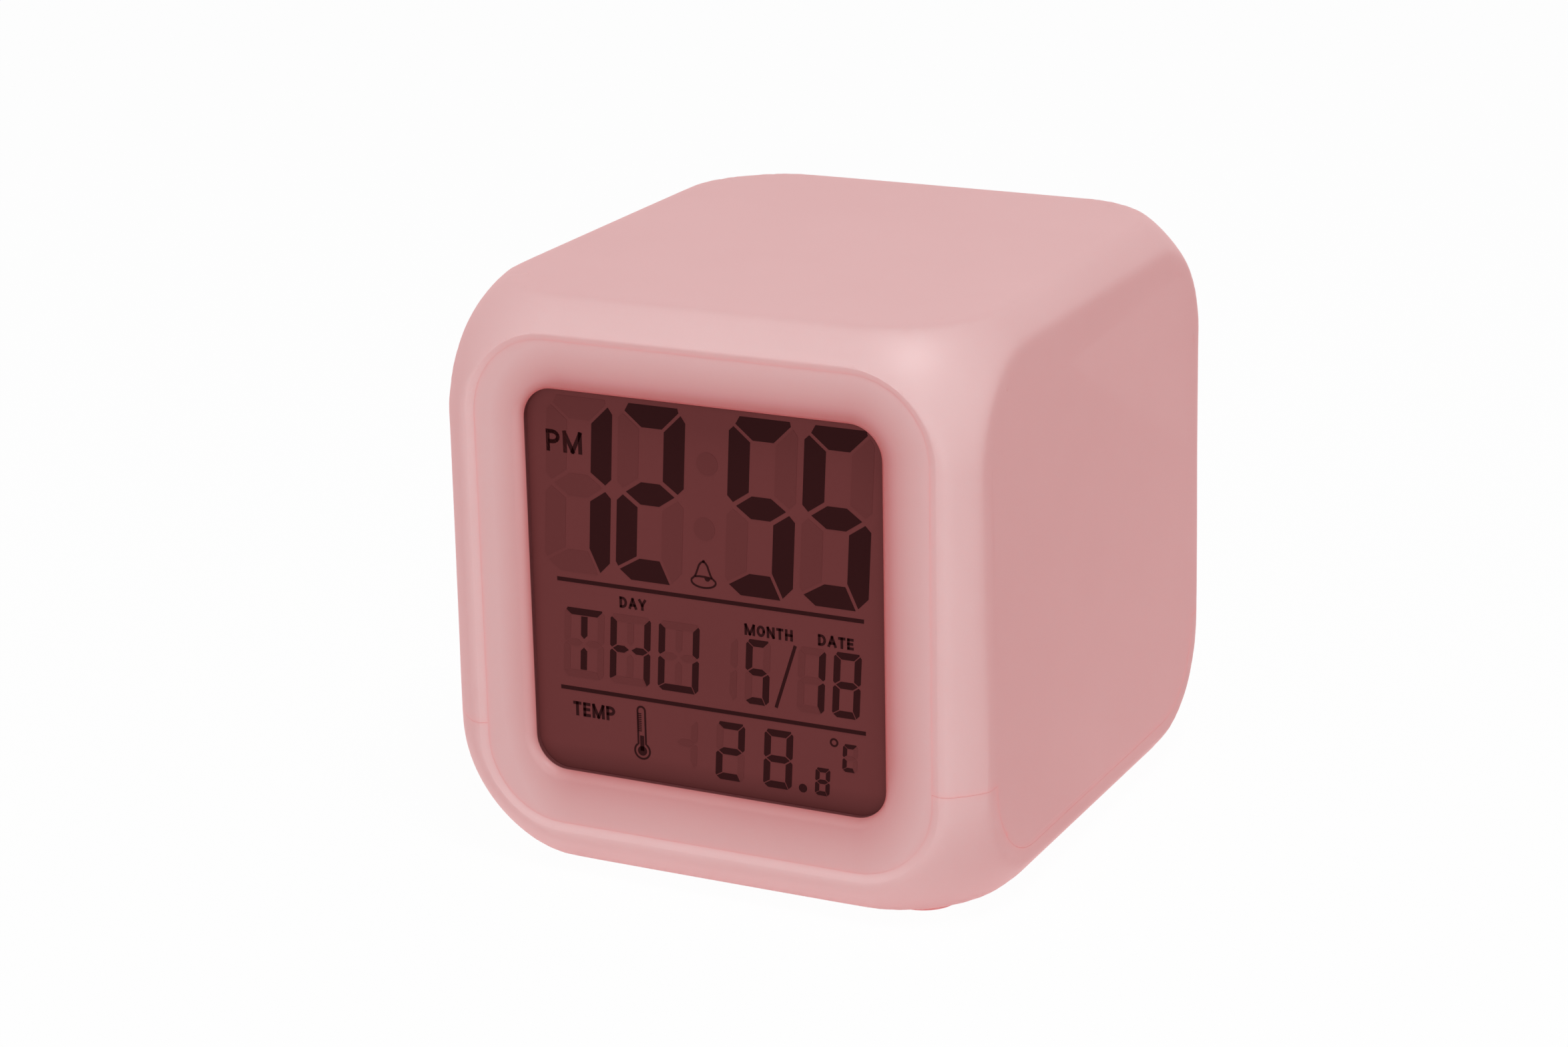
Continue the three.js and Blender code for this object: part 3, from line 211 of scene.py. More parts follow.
CLOCK_MIDDLE = (cad_low + cad_high) / 2
for name, place, width, watts in LAMPS:
    lamp = bpy.data.lights.new(name, "AREA")
    lamp.size = width
    lamp.energy = watts
    softbox = bpy.data.objects.new(name, lamp)
    aim = CLOCK_MIDDLE - Vector(place)
    softbox.location = place
    softbox.rotation_euler = aim.to_track_quat("-Z", "Y").to_euler()
    bpy.context.scene.collection.objects.link(softbox)
    print(name, watts, "W")

# %% [markdown]
# ## The glowing plastic
# The housing is milky polypropylene, injection moulded with a fine satin texture. Coloured lamps
# inside light it through, so it looks soft: shadows are weak, the colour is a little uneven, and deep
# places look redder. True volume scattering would be slow and noisy. Subsurface scattering in the
# Principled shader gives the softness, and a weak emission stands for the lamps inside.

# %% Satin plastic that glows
GLOW_COLOUR = "#ff2a2a"
GLOW_STRENGTH = 0.3
MOTTLE_SIZE = 15.0  # mm, cloudy patches in the moulding
SATIN_GRAIN = 0.35  # mm, drawn coarser than the real texture so that it shows
SCATTER_DEPTH = 3.0  # mm that light wanders inside the wall
SATIN = 0.42  # roughness


def satin_plastic(name, colours, strength, roughness=SATIN, dress=None):
    """Milky satin plastic with scattering, a weak inner glow and fine grain.

    Dress adds nodes of its own and returns the sockets that it changes.
    """
    material, tree = blank_material(name)
    place = add_node(tree, "ShaderNodeTexCoord").outputs["Object"]
    cloudy = {"Vector": place, "Scale": per_metre(MOTTLE_SIZE), "Detail": 2.0}
    clouds = add_node(tree, "ShaderNodeTexNoise", cloudy)
    pair = {FACTOR: clouds.outputs[0], FIRST: linear(colours[0]), SECOND: linear(colours[1])}
    base = add_node(tree, "ShaderNodeMix", pair, data_type="RGBA").outputs[MIXED]
    fine = {"Vector": place, "Scale": per_metre(SATIN_GRAIN), "Detail": 1.0}
    grain = add_node(tree, "ShaderNodeTexNoise", fine)
    relief = {"Height": grain.outputs[0], "Strength": 0.05, "Distance": 0.05 * MM}
    bump = add_node(tree, "ShaderNodeBump", relief)
    sockets = {
        "Base Color": base,
        "Roughness": roughness,
        "IOR": 1.49,
        "Specular IOR Level": 0.3,
        "Subsurface Weight": 0.35,
        "Subsurface Radius": (1.0, 0.6, 0.6),
        "Subsurface Scale": SCATTER_DEPTH * MM,
        "Emission Color": linear(GLOW_COLOUR),
        "Emission Strength": strength,
        "Normal": bump.outputs[0],
    }
    if dress:
        sockets.update(dress(tree, place, base))
    shader = add_node(tree, "ShaderNodeBsdfPrincipled", sockets)
    add_node(tree, "ShaderNodeOutputMaterial", {"Surface": shader.outputs[0]})
    return material


print("light wanders", SCATTER_DEPTH, "mm inside the satin plastic")

# %% Housing finish
HOUSING_COLOURS = ("#b8bcbc", "#b3b7b7")  # the unlit wall, with cloudy patches
PAINTED_FLAT_SHADE = "#efebeb"  # painted shade: the flats are drawn a little darker than the rounds, so the rounds look lit
PAINTED_SHADE_SHARES = (0.8, 0.2, 0.63)  # how much of the painted shade each flat gets along x, y and z: the sides get the most


def painted_flat_shade(tree, place, base):
    """Paint shade on the flats, where the fourth power of one part of the normal is large, so the rounds
    look lit.
    """
    power = add_node(tree, "ShaderNodeTexCoord").outputs["Normal"]
    for _ in range(2):
        square = {0: power, 1: power}
        power = add_node(tree, "ShaderNodeVectorMath", square, operation="MULTIPLY").outputs[0]
    flat = add_node(tree, "ShaderNodeVectorMath", {0: power, 1: PAINTED_SHADE_SHARES}, operation="DOT_PRODUCT")
    pair = {FACTOR: flat.outputs["Value"], FIRST: base, SECOND: linear(PAINTED_FLAT_SHADE)}
    shaded = add_node(tree, "ShaderNodeMix", pair, data_type="RGBA", blend_type="MULTIPLY")
    return {"Base Color": shaded.outputs[MIXED]}


# Gives the eye a soft pink body without hard shadows. The broad sheen on the rounds comes partly from the
# lamps and partly from the painted shade on the flats.
housing_finish = satin_plastic("milky_polypropylene", HOUSING_COLOURS, GLOW_STRENGTH, SATIN, painted_flat_shade)
print("made", housing_finish.name)

# %% [markdown]
# ## The halo round the window
# The display module blocks the light behind the front panel, so the panel is darker and redder round
# the window and pales towards its rim. The shade is drawn with the distance from the window's edge in
# object coordinates. The inner walls of the window get no light from behind and are darker still.

# %% Front panel finish
MIDDLE_Z = 40.5  # mm, middle of the housing above the table
WINDOW_HALF = 25.9068
WINDOW_LOW = 14.7932
WINDOW_HIGH = 68.0068
PANEL_FACE_Y = -42.3
PANEL_COLOURS = ("#aeb3b3", "#abb0b0")
HALO_SIDES = {
    # for each axis: direction, the window's edge in mm, reach that is added, how fast the shade fades
    "X": ((1, WINDOW_HALF, 0.0, 1.0), (-1, -WINDOW_HALF, 2.2, 1.0)),
    "Z": ((1, WINDOW_HIGH, 0.0, 1.0), (-1, WINDOW_LOW, 1.5, 0.58)),
}
HALO_CORNER = 4.5  # mm, the halo follows the window's round corners
HALO_WIDTH = 6.6  # mm
HALO_STOPS = (
    # mm from the window, shade
    (0.0, "#aa9c9c"),
    (1.2, "#bcadad"),
    (2.0, "#d6caca"),
    (2.6, "#e2d8d8"),
    (3.6, "#ece5e5"),
    (4.8, "#f5f0f0"),
    (HALO_WIDTH, "#ffffff"),
)
WALL_SHADE = "#643536"
WALL_DEPTH = (1.15, 1.35)  # mm behind the face, between which the window's wall turns dark


def window_halo(tree, place, base):
    """Shade the panel by the distance from the window, and darken the window's walls, which don't glow."""
    axes = add_node(tree, "ShaderNodeSeparateXYZ", {0: place}).outputs
    reaches = {}
    for axis, sides in HALO_SIDES.items():
        farthest = 0.0
        for direction, edge, added, rate in sides:
            start = (HALO_CORNER + added - direction * rate * edge) * MM
            slope = {0: axes[axis], 1: direction * rate, 2: start}
            reach = add_node(tree, "ShaderNodeMath", slope, operation="MULTIPLY_ADD").outputs[0]
            pair = {0: reach, 1: farthest}
            farthest = add_node(tree, "ShaderNodeMath", pair, operation="MAXIMUM").outputs[0]
        reaches[axis] = farthest
    both = add_node(tree, "ShaderNodeCombineXYZ", reaches).outputs[0]
    distance = add_node(tree, "ShaderNodeVectorMath", {0: both}, operation="LENGTH").outputs["Value"]
    halo_range = {0: distance, 1: HALO_CORNER * MM, 2: (HALO_CORNER + HALO_WIDTH) * MM}
    fade = add_node(tree, "ShaderNodeMapRange", halo_range)
    stops = [(distance / HALO_WIDTH, linear(colour)) for distance, colour in HALO_STOPS]
    shade = add_node(tree, "ShaderNodeValToRGB", {0: fade.outputs[0]}, stops)
    pair = {FACTOR: 1.0, FIRST: base, SECOND: shade.outputs[0]}
    tinted = add_node(tree, "ShaderNodeMix", pair, data_type="RGBA", blend_type="MULTIPLY").outputs[MIXED]
    start, end = [(PANEL_FACE_Y + depth) * MM for depth in WALL_DEPTH]
    depth = add_node(tree, "ShaderNodeMapRange", {0: axes["Y"], 1: start, 2: end}).outputs[0]
    pair = {FACTOR: depth, FIRST: tinted, SECOND: linear(WALL_SHADE)}
    walled = add_node(tree, "ShaderNodeMix", pair, data_type="RGBA").outputs[MIXED]
    pair = {FACTOR: depth, FIRST: linear(GLOW_COLOUR), SECOND: linear("#000000")}
    glow = add_node(tree, "ShaderNodeMix", pair, data_type="RGBA").outputs[MIXED]
    return {"Base Color": walled, "Emission Color": glow}


# The same plastic with the red shade that frames the display.
panel_finish = satin_plastic("milky_polypropylene_front", PANEL_COLOURS, GLOW_STRENGTH, SATIN, window_halo)
print("made", panel_finish.name)

# %% [markdown]
# ## Building helpers
# All modelling is in millimetres, and the last step of each piece scales it to metres. Three ways of
# shaping cover almost everything here: a loft of rounded rectangles, a spun profile, and carving with
# Booleans.

# %% Rounded rectangles
CORNER_STEPS = 12
AXES = {
    "X": lambda across, up, along: (along, across, up),
    "Y": lambda across, up, along: (across, along, up),
    "Z": lambda across, up, along: (across, up, along),
}


def grown(outline, by):
    """A rounded rectangle (left, right, low, high, corner) made larger all round."""
    left, right, low, high, corner = outline
    return (left - by, right + by, low - by, high + by, max(corner + by, 0.05))


def centred(width, height, corner, across=0.0, up=0.0):
    """A rounded rectangle given by its size and middle."""
    return (across - width / 2, across + width / 2, up - height / 2, up + height / 2, corner)


def outline_loop(bm, outline, along, axis):
    """Add one rounded rectangle to a bmesh and return its edges."""
    left, right, low, high, corner = outline
    before = set(bm.verts)
    points = ((left, low), (right, low), (right, high), (left, high))
    verts = [bm.verts.new(AXES[axis](across, up, along)) for across, up in points]
    bm.faces.new(verts)
    bmesh.ops.bevel(
        bm,
        geom=verts,
        offset=corner,
        offset_type="ABSOLUTE",
        segments=CORNER_STEPS,
        profile=0.5,
        affect="VERTICES",
        material=-1,
    )
    fresh = set(bm.verts) - before
    face = next(face for face in bm.faces if face.verts[0] in fresh)
    loop = list(face.edges)
    bmesh.ops.delete(bm, geom=[face], context="FACES_ONLY")
    return loop


print("each corner has", CORNER_STEPS, "steps")

# %% Lofts and rounded edges
def loft(sections, axis, ring=False):
    """Skin (outline, place along the axis) sections in turn. A ring joins the last to the first."""
    bm = bmesh.new()
    loops = [outline_loop(bm, outline, along, axis) for outline, along in sections]
    pairs = list(zip(loops, loops[1:]))
    if ring:
        pairs.append((loops[-1], loops[0]))
    for first, second in pairs:
        bmesh.ops.bridge_loops(bm, edges=first + second)
    if not ring:
        for loop in (loops[0], loops[-1]):
            bmesh.ops.edgeloop_fill(bm, edges=loop)
    bmesh.ops.recalc_face_normals(bm, faces=bm.faces)
    return bm, loops


def round_edges(bm, edges, width, segments):
    """Round off some edges by a width."""
    bmesh.ops.bevel(
        bm,
        geom=edges,
        offset=width,
        offset_type="OFFSET",
        segments=segments,
        profile=0.5,
        affect="EDGES",
        clamp_overlap=True,
        material=-1,
    )


block, loops = loft([(centred(10, 6, 2), 0), (centred(10, 6, 2), 4)], "Y")
print("test block:", len(block.faces), "faces,", round(block.calc_volume(), 2), "cubic mm")
block.free()

# %% [markdown]
# ### Turned shapes
# Feet, screws, cells and the press plate are turned shapes. Half a section spun once round its axis
# gives the whole piece with its rounded corners in one step. A plain bar needs no profile, so it is a
# cone with two radii.

# %% Spun pieces and rods
TURN_STEPS = 64
WELD = 1e-4
AXIS_TURNS = {
    "X": Matrix.Rotation(math.pi / 2, 4, "Y"),
    "Y": Matrix.Rotation(-math.pi / 2, 4, "X"),
    "Z": Matrix.Identity(4),
}


def spun(profile, steps=TURN_STEPS):
    """Spin a profile of (radius, height) points, which starts and ends on the axis, round z."""
    bm = bmesh.new()
    verts = [bm.verts.new((radius, 0, height)) for radius, height in profile]
    edges = [bm.edges.new(pair) for pair in zip(verts, verts[1:])]
    bmesh.ops.spin(
        bm,
        geom=verts + edges,
        cent=(0, 0, 0),
        axis=(0, 0, 1),
        angle=math.tau,
        steps=steps,
        use_merge=True,
    )
    bmesh.ops.remove_doubles(bm, verts=bm.verts, dist=WELD)
    bmesh.ops.recalc_face_normals(bm, faces=bm.faces)
    return bm


def moved(bm, axis, across, up, along):
    """Lay a shape made along z on another axis and put its origin at a place."""
    place = Matrix.Translation(AXES[axis](across, up, along)) @ AXIS_TURNS[axis]
    bmesh.ops.transform(bm, matrix=place, verts=bm.verts)
    return bm


def rod(radius, start, end, across, up, axis="Z", end_radius=None):
    """A round bar between two places along an axis, tapered if it has an end radius."""
    bm = bmesh.new()
    bmesh.ops.create_cone(
        bm,
        cap_ends=True,
        segments=TURN_STEPS,
        radius1=radius,
        radius2=radius if end_radius is None else end_radius,
        depth=end - start,
    )
    return moved(bm, axis, across, up, (start + end) / 2)


test_rod = rod(2, 0, 5, 0, 0, "Y")
print("test rod:", round(test_rod.calc_volume(), 2), "cubic mm")
test_rod.free()

# %% [markdown]
# ### Cuts and finishing
# Openings, bosses and bores are cut or joined with Booleans, as a toolmaker cuts a mould. The exact
# solver copes with faces that touch, and the result is read back into a bmesh, so no modifier stays
# on a piece. Finishing turns the piece to metres, smooths it, and says which body it rides on and
# which solid it stands for.

# %% Carving with Booleans
def scratch_object(bm):
    """A short-lived object for the Boolean modifier."""
    mesh = bpy.data.meshes.new("scratch")
    bm.to_mesh(mesh)
    bm.free()
    scratch = bpy.data.objects.new("scratch", mesh)
    bpy.context.scene.collection.objects.link(scratch)
    return scratch


def carved(body, tools, operation="DIFFERENCE"):
    """Cut tools out of a body, or join or intersect them, and return the new bmesh."""
    work = scratch_object(body)
    cutters = [scratch_object(tool) for tool in tools]
    for cutter in cutters:
        step = work.modifiers.new("carve", "BOOLEAN")
        step.operation = operation
        step.solver = "EXACT"
        step.object = cutter
    result = bmesh.new()
    result.from_object(work, bpy.context.evaluated_depsgraph_get())
    for scratch in (work, *cutters):
        mesh = scratch.data
        bpy.data.objects.remove(scratch)
        bpy.data.meshes.remove(mesh)
    bmesh.ops.remove_doubles(result, verts=result.verts, dist=WELD)
    return result


def gathered(parts):
    """Several shapes that don't touch, as one bmesh."""
    whole = bmesh.new()
    for part in parts:
        mesh = bpy.data.meshes.new("scratch")
        part.to_mesh(mesh)
        part.free()
        whole.from_mesh(mesh)
        bpy.data.meshes.remove(mesh)
    return whole


test_ring = carved(rod(4, 0, 5, 0, 0), [rod(2, -1, 6, 0, 0)])
print("test ring:", round(test_ring.calc_volume(), 2), "cubic mm")
test_ring.free()

# %% Finishing a piece
SMOOTH_LIMIT = math.radians(42)  # steeper edges stay sharp


def finish_piece(bm, name, body, material, slot, *nodes):
    """Scale a bmesh to metres, make it an object that rides on a body, and let it stand for CAD nodes."""
    bmesh.ops.scale(bm, vec=(MM, MM, MM), verts=bm.verts)
    mesh = bpy.data.meshes.new(name)
    bm.to_mesh(mesh)
    bm.free()
    mesh.shade_smooth()
    mesh.set_sharp_from_angle(angle=SMOOTH_LIMIT)
    mesh.materials.append(material)
    piece = bpy.data.objects.new(name, mesh)
    bpy.context.scene.collection.objects.link(piece)
    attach(piece, body)
    if nodes:
        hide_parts(*nodes)
    print(name, "has", len(mesh.polygons), "faces and rides on", body)
    return piece


print("edges stay sharp above", round(math.degrees(SMOOTH_LIMIT)), "degrees")

# %% [markdown]
# ## Housing
# The housing is a box with very large round edges, cut off by six flats. A cube is beveled by 23.5 mm
# and then sliced with planes. The sides lean in a little towards the top. A bevel along the creases
# would be limited by the narrow faces of the rounds, so the mesh near them is relaxed instead. A
# smaller copy is the hollow inside.

# %% Soft creases
SHORT_EDGE = 0.15  # the planes leave edges shorter than this, which would make kinks
RING_WIDTH = 0.7  # rings laid inside each flat give the crease something to bend
RINGS = 4
FLATS = 6
SOFT_ROUNDS = 5  # how often the crease is relaxed


def soften_creases(bm):
    """Round the creases where the flats meet the rounds by relaxing the mesh near them."""
    bmesh.ops.remove_doubles(bm, verts=bm.verts, dist=SHORT_EDGE)
    flats = sorted(bm.faces, key=lambda face: face.calc_area())[-FLATS:]
    near = {vert for flat in flats for vert in flat.verts}
    for _ in range(RINGS):
        bmesh.ops.inset_individual(bm, faces=flats, thickness=RING_WIDTH, use_even_offset=True)
    for _ in range(RINGS - 1):
        near |= {edge.other_vert(vert) for vert in near for edge in vert.link_edges}
    for _ in range(SOFT_ROUNDS):
        bmesh.ops.smooth_vert(
            bm,
            verts=list(near),
            factor=0.5,
            use_axis_x=True,
            use_axis_y=True,
            use_axis_z=True,
        )


print("creases are relaxed", SOFT_ROUNDS, "times")

# %% Housing form
HALF_WIDTH = 39.0
HALF_DEPTH = 42.7
HALF_HEIGHT = 39.5
SIDE_DRAFT = 0.5  # each side leans in this far at the top
EDGE_RADIUS = 23.5
FLAT_CORNER = 14.5
ARC_DROP = math.sqrt(EDGE_RADIUS**2 - FLAT_CORNER**2)  # from a flat to the arc's centre
OUTER_STEPS = 48
INNER_STEPS = 16
WALL = 2.0


def housing_form(inset, steps, eased):
    """The closed outer form, or a smaller copy for the hollow."""
    radius = EDGE_RADIUS - inset
    halves = (HALF_WIDTH, HALF_DEPTH, HALF_HEIGHT)
    bm = bmesh.new()
    bmesh.ops.create_cube(bm, size=2.0)
    bmesh.ops.scale(bm, vec=[half - ARC_DROP + radius for half in halves], verts=bm.verts)
    round_edges(bm, bm.edges[:], radius, steps)
    lean = SIDE_DRAFT / HALF_HEIGHT
    cuts = [((side * (HALF_WIDTH - inset), 0, 0), (side, 0, lean)) for side in (-1, 1)]
    cuts += [((0, side * (HALF_DEPTH - inset), 0), (0, side, 0)) for side in (-1, 1)]
    cuts += [((0, 0, side * (HALF_HEIGHT - inset)), (0, 0, side)) for side in (-1, 1)]
    for point, direction in cuts:
        cut = bmesh.ops.bisect_plane(
            bm,
            geom=bm.verts[:] + bm.edges[:] + bm.faces[:],
            plane_co=point,
            plane_no=direction,
            clear_outer=True,
        )
        rim = [item for item in cut["geom_cut"] if isinstance(item, bmesh.types.BMEdge)]
        bmesh.ops.edgeloop_fill(bm, edges=rim)
    if eased:
        soften_creases(bm)
    bmesh.ops.recalc_face_normals(bm, faces=bm.faces)
    bmesh.ops.translate(bm, vec=(0, 0, MIDDLE_Z), verts=bm.verts)
    return bm


form = housing_form(0, OUTER_STEPS, True)
print("housing form:", len(form.faces), "faces,", round(form.calc_volume() / 1000, 1), "cubic cm")
print("highest point, mm:", round(max(vert.co.z for vert in form.verts), 3))

# %% [markdown]
# ## Two shells and their seam
# The upper housing runs down both sides as a rounded tongue into the base. The seam between them is a
# hairline. Both shells are cut from the same hollow form with one cutter, a little smaller for the
# upper shell and a little larger for the base, so the seam has the same width everywhere.

# %% Hollow shell with openings for the panels
PANEL = (-32.7568, 32.7568, 7.4932, 74.8068, 11.0)
# The soft edge of the opening, in steps of depth below the face and width beyond the panel.
LEDGE = ((0.4, 0.0), (0.36, 0.27), (0.2, 0.65), (0.04, 1.03), (0.0, 1.3))
PAST = 1.5  # how far a cutter runs past the face that it cuts


def panel_opening(side):
    """The cutter for the front or back opening, flared at its mouth."""
    face = side * HALF_DEPTH
    sections = [(PANEL, face - side * (WALL + PAST))]
    sections += [(grown(PANEL, width), face - side * depth) for depth, width in LEDGE]
    sections.append((grown(PANEL, LEDGE[-1][1]), face + side * PAST))
    return loft(sections, "Y")[0]


hollow = housing_form(WALL, INNER_STEPS, False)
shell = carved(form, [hollow, panel_opening(-1), panel_opening(1)])
print("shell:", len(shell.faces), "faces")

# %% Seam cutter
SEAM_Z = 20.15
SEAM_GAP = 0.03
TONGUE_HALF = 36.0
TONGUE_LOW = 7.8
TONGUE_CORNER = 12.0
POST_X = 32.0


def upper_region(grow):
    """All that belongs to the upper housing: above the seam, and the two side tongues."""
    above = bmesh.new()
    bmesh.ops.create_cube(above, size=2.0)
    half = 2 * HALF_HEIGHT
    bmesh.ops.scale(above, vec=(half, half, half), verts=above.verts)
    bmesh.ops.translate(above, vec=(0, 0, SEAM_Z - grow + half), verts=above.verts)
    outline = (-TONGUE_HALF, TONGUE_HALF, TONGUE_LOW, SEAM_Z + 2 * TONGUE_CORNER, TONGUE_CORNER)
    tongues = []
    for side in (-1, 1):
        ends = (side * POST_X, side * (HALF_WIDTH + PAST))
        tongues.append(loft([(grown(outline, grow), end) for end in ends], "X")[0])
    return carved(above, tongues, "UNION")


print("seam gap:", SEAM_GAP, "mm")

# %% [markdown]
# The upper housing has four posts inside that the housing screws bite into. They are blocks joined to
# the wall, each with a pilot hole.

# %% Upper housing
POST_Y = 18.0
POST_LOW = 12.0
POST_HIGH = 32.0
POST_WIDTH = 6.4
POST_INNER = 28.8
POST_OUTER = 37.5
POST_CORNER = 0.3
SCREW_BORE = 1.5
PILOT_TOP = 20.0
CORNERS = [(x, y) for x in (-1, 1) for y in (-1, 1)]

upper = carved(shell.copy(), [upper_region(-SEAM_GAP / 2)], "INTERSECT")
posts = []
pilots = []
for x, y in CORNERS:
    near, far = sorted((x * POST_INNER, x * POST_OUTER))
    outline = (near, far, y * POST_Y - POST_WIDTH / 2, y * POST_Y + POST_WIDTH / 2, POST_CORNER)
    posts.append(loft([(outline, POST_LOW), (outline, POST_HIGH)], "Z")[0])
    pilots.append(rod(SCREW_BORE, POST_LOW - PAST, PILOT_TOP, x * POST_X, y * POST_Y))
upper = carved(upper, [gathered(posts)], "UNION")
upper = carved(upper, [gathered(pilots)])
finish_piece(upper, "upper_shell", "clock", housing_finish, "housing", "upper_housing")

# %% [markdown]
# The base carries the feet in shallow sockets, the screws in counterbored bosses, and the press plate
# in its round hole. Moulded holes have no sharp rim, so each hole in the underside gets an eased lip.

# %% Base housing
BOTTOM_Z = 1.0
FLOOR_Z = 3.0
ROOT = 0.5  # how far a boss is sunk into the wall that carries it
FOOT_X = 26.0
FOOT_Y = 30.0
FOOT_SOCKET = 5.3
FOOT_SOCKET_DEPTH = 1.0
COUNTERBORE = 2.7
SHOULDER_Z = 5.0
BASE_BOSS = 4.2
BOSS_TOP = 11.7
PRESS_HOLE = 9.3
PRESS_POST_X = 14.0
PRESS_POST = 2.2
PRESS_POST_TOP = 12.3
PILOT = 1.2
PILOT_DEPTH = 5.0
LIP = 0.3  # eased edge of a round hole in the underside


def lipped_hole(radius, top, x, y):
    """A round hole up into the underside, with an eased lip."""
    hole = rod(radius, BOTTOM_Z - PAST, top, x, y)
    lip = rod(radius + 2 * LIP, BOTTOM_Z - LIP, BOTTOM_Z + LIP, x, y, "Z", radius)
    return [hole, lip]


base = carved(shell, [upper_region(SEAM_GAP / 2)])
bosses = []
holes = []
bores = []
for x, y in CORNERS:
    bosses.append(rod(BASE_BOSS, FLOOR_Z - ROOT, BOSS_TOP, x * POST_X, y * POST_Y))
    bores.append(rod(SCREW_BORE, BOTTOM_Z - PAST, BOSS_TOP + PAST, x * POST_X, y * POST_Y))
    holes += lipped_hole(COUNTERBORE, SHOULDER_Z, x * POST_X, y * POST_Y)
    holes += lipped_hole(FOOT_SOCKET, BOTTOM_Z + FOOT_SOCKET_DEPTH, x * FOOT_X, y * FOOT_Y)
for x in (-1, 1):
    bosses.append(rod(PRESS_POST, FLOOR_Z - ROOT, PRESS_POST_TOP, x * PRESS_POST_X, 0))
    bores.append(rod(PILOT, PRESS_POST_TOP - PILOT_DEPTH, PRESS_POST_TOP + PAST, x * PRESS_POST_X, 0))
holes += lipped_hole(PRESS_HOLE, FLOOR_Z + PAST, 0, 0)
base = carved(base, [gathered(bosses)], "UNION")
base = carved(base, [gathered(bores), gathered(holes[0::2]), gathered(holes[1::2])])
finish_piece(base, "base_shell", "clock", housing_finish, "housing", "base_housing")

# %% [markdown]
# ## Front panel
# The panel is one moulding: a face with a rounded window, a flange behind it that stops it in the
# housing, and a pocket for the display glass. Bridging rounded loops one after another, all the way
# round the section, gives the whole ring at once, and the window's front edge is then rounded.

# %% Front panel
FLANGE_FRONT_Y = 40.4  # distances from the middle, the same at front and back
PANEL_BACK_Y = 39.0
FLANGE = (-33.9568, 33.9568, 6.2932, 75.1068, 13.5)
WINDOW = (-WINDOW_HALF, WINDOW_HALF, WINDOW_LOW, WINDOW_HIGH, 4.5)
POCKET = (-27.8068, 27.8068, 12.8932, 69.9068, 0.4)
POCKET_FRONT_Y = -40.3
WINDOW_ROUND = 1.3
WINDOW_ROUND_STEPS = 10
BOARD_BOSS_X = 30.4068
BOARD_BOSS_Z = (26.4, 56.4)
BOARD_BOSS_END = -32.5

ring, loops = loft(
    (
        (WINDOW, PANEL_FACE_Y),
        (PANEL, PANEL_FACE_Y),
        (PANEL, -FLANGE_FRONT_Y),
        (FLANGE, -FLANGE_FRONT_Y),
        (FLANGE, -PANEL_BACK_Y),
        (POCKET, -PANEL_BACK_Y),
        (POCKET, POCKET_FRONT_Y),
        (WINDOW, POCKET_FRONT_Y),
    ),
    "Y",
    ring=True,
)
round_edges(ring, loops[0], WINDOW_ROUND, WINDOW_ROUND_STEPS)
bosses = []
pilots = []
for x in (-BOARD_BOSS_X, BOARD_BOSS_X):
    for z in BOARD_BOSS_Z:
        bosses.append(rod(PRESS_POST, -PANEL_BACK_Y - ROOT, BOARD_BOSS_END, x, z, "Y"))
        pilots.append(rod(PILOT, BOARD_BOSS_END - PILOT_DEPTH, BOARD_BOSS_END + PAST, x, z, "Y"))
ring = carved(ring, [gathered(bosses)], "UNION")
ring = carved(ring, [gathered(pilots)])
finish_piece(ring, "window_panel", "clock", panel_finish, "panel", "front_panel")

# %% [markdown]
# ## Display
# A reflective segment display: a dark red field, with the lit segments almost black and the others
# just visible. The glass is the CAD solid with a new finish. The segments are thin plates on the
# glass, drawn as outlines and extruded, because a texture would blur at their edges.

# %% Display finishes
GLASS_COLOURS = ("#582b2b", "#552929")
INK_COLOURS = ("#290d0e", "#270c0d")
GHOST_COLOURS = ("#532828", "#502626")
SHADE_HEIGHT = 3.4  # mm above the window's lower edge, over which the glass gets lighter
SHADE_START = 0.72  # how dark it starts
DISPLAY_CLOUDS = 20.0  # mm


def shaded_foot(tree, place, base):
    """Darken the glass towards the window's lower edge, where the panel shades it."""
    height = add_node(tree, "ShaderNodeSeparateXYZ", {0: place}).outputs["Z"]
    end = (WINDOW_LOW + SHADE_HEIGHT) * MM
    span = {0: height, 1: WINDOW_LOW * MM, 2: end, 3: SHADE_START, 4: 1.0}
    shade = add_node(tree, "ShaderNodeMapRange", span).outputs[0]
    pair = {FACTOR: 1.0, FIRST: base, SECOND: shade}
    return add_node(tree, "ShaderNodeMix", pair, data_type="RGBA", blend_type="MULTIPLY").outputs[MIXED]


def printed(name, colours, roughness, glow, dress=None):
    """A flat display layer: two close colours in soft clouds, and a little light from behind."""
    material, tree = blank_material(name)
    place = add_node(tree, "ShaderNodeTexCoord").outputs["Object"]
    cloudy = {"Vector": place, "Scale": per_metre(DISPLAY_CLOUDS), "Detail": 1.0}
    clouds = add_node(tree, "ShaderNodeTexNoise", cloudy)
    pair = {FACTOR: clouds.outputs[0], FIRST: linear(colours[0]), SECOND: linear(colours[1])}
    base = add_node(tree, "ShaderNodeMix", pair, data_type="RGBA").outputs[MIXED]
    if dress:
        base = dress(tree, place, base)
    sockets = {
        "Base Color": base,
        "Roughness": roughness,
        "Specular IOR Level": 0.04,
        "Emission Color": base,
        "Emission Strength": glow,
    }
    shader = add_node(tree, "ShaderNodeBsdfPrincipled", sockets)
    add_node(tree, "ShaderNodeOutputMaterial", {"Surface": shader.outputs[0]})
    return material


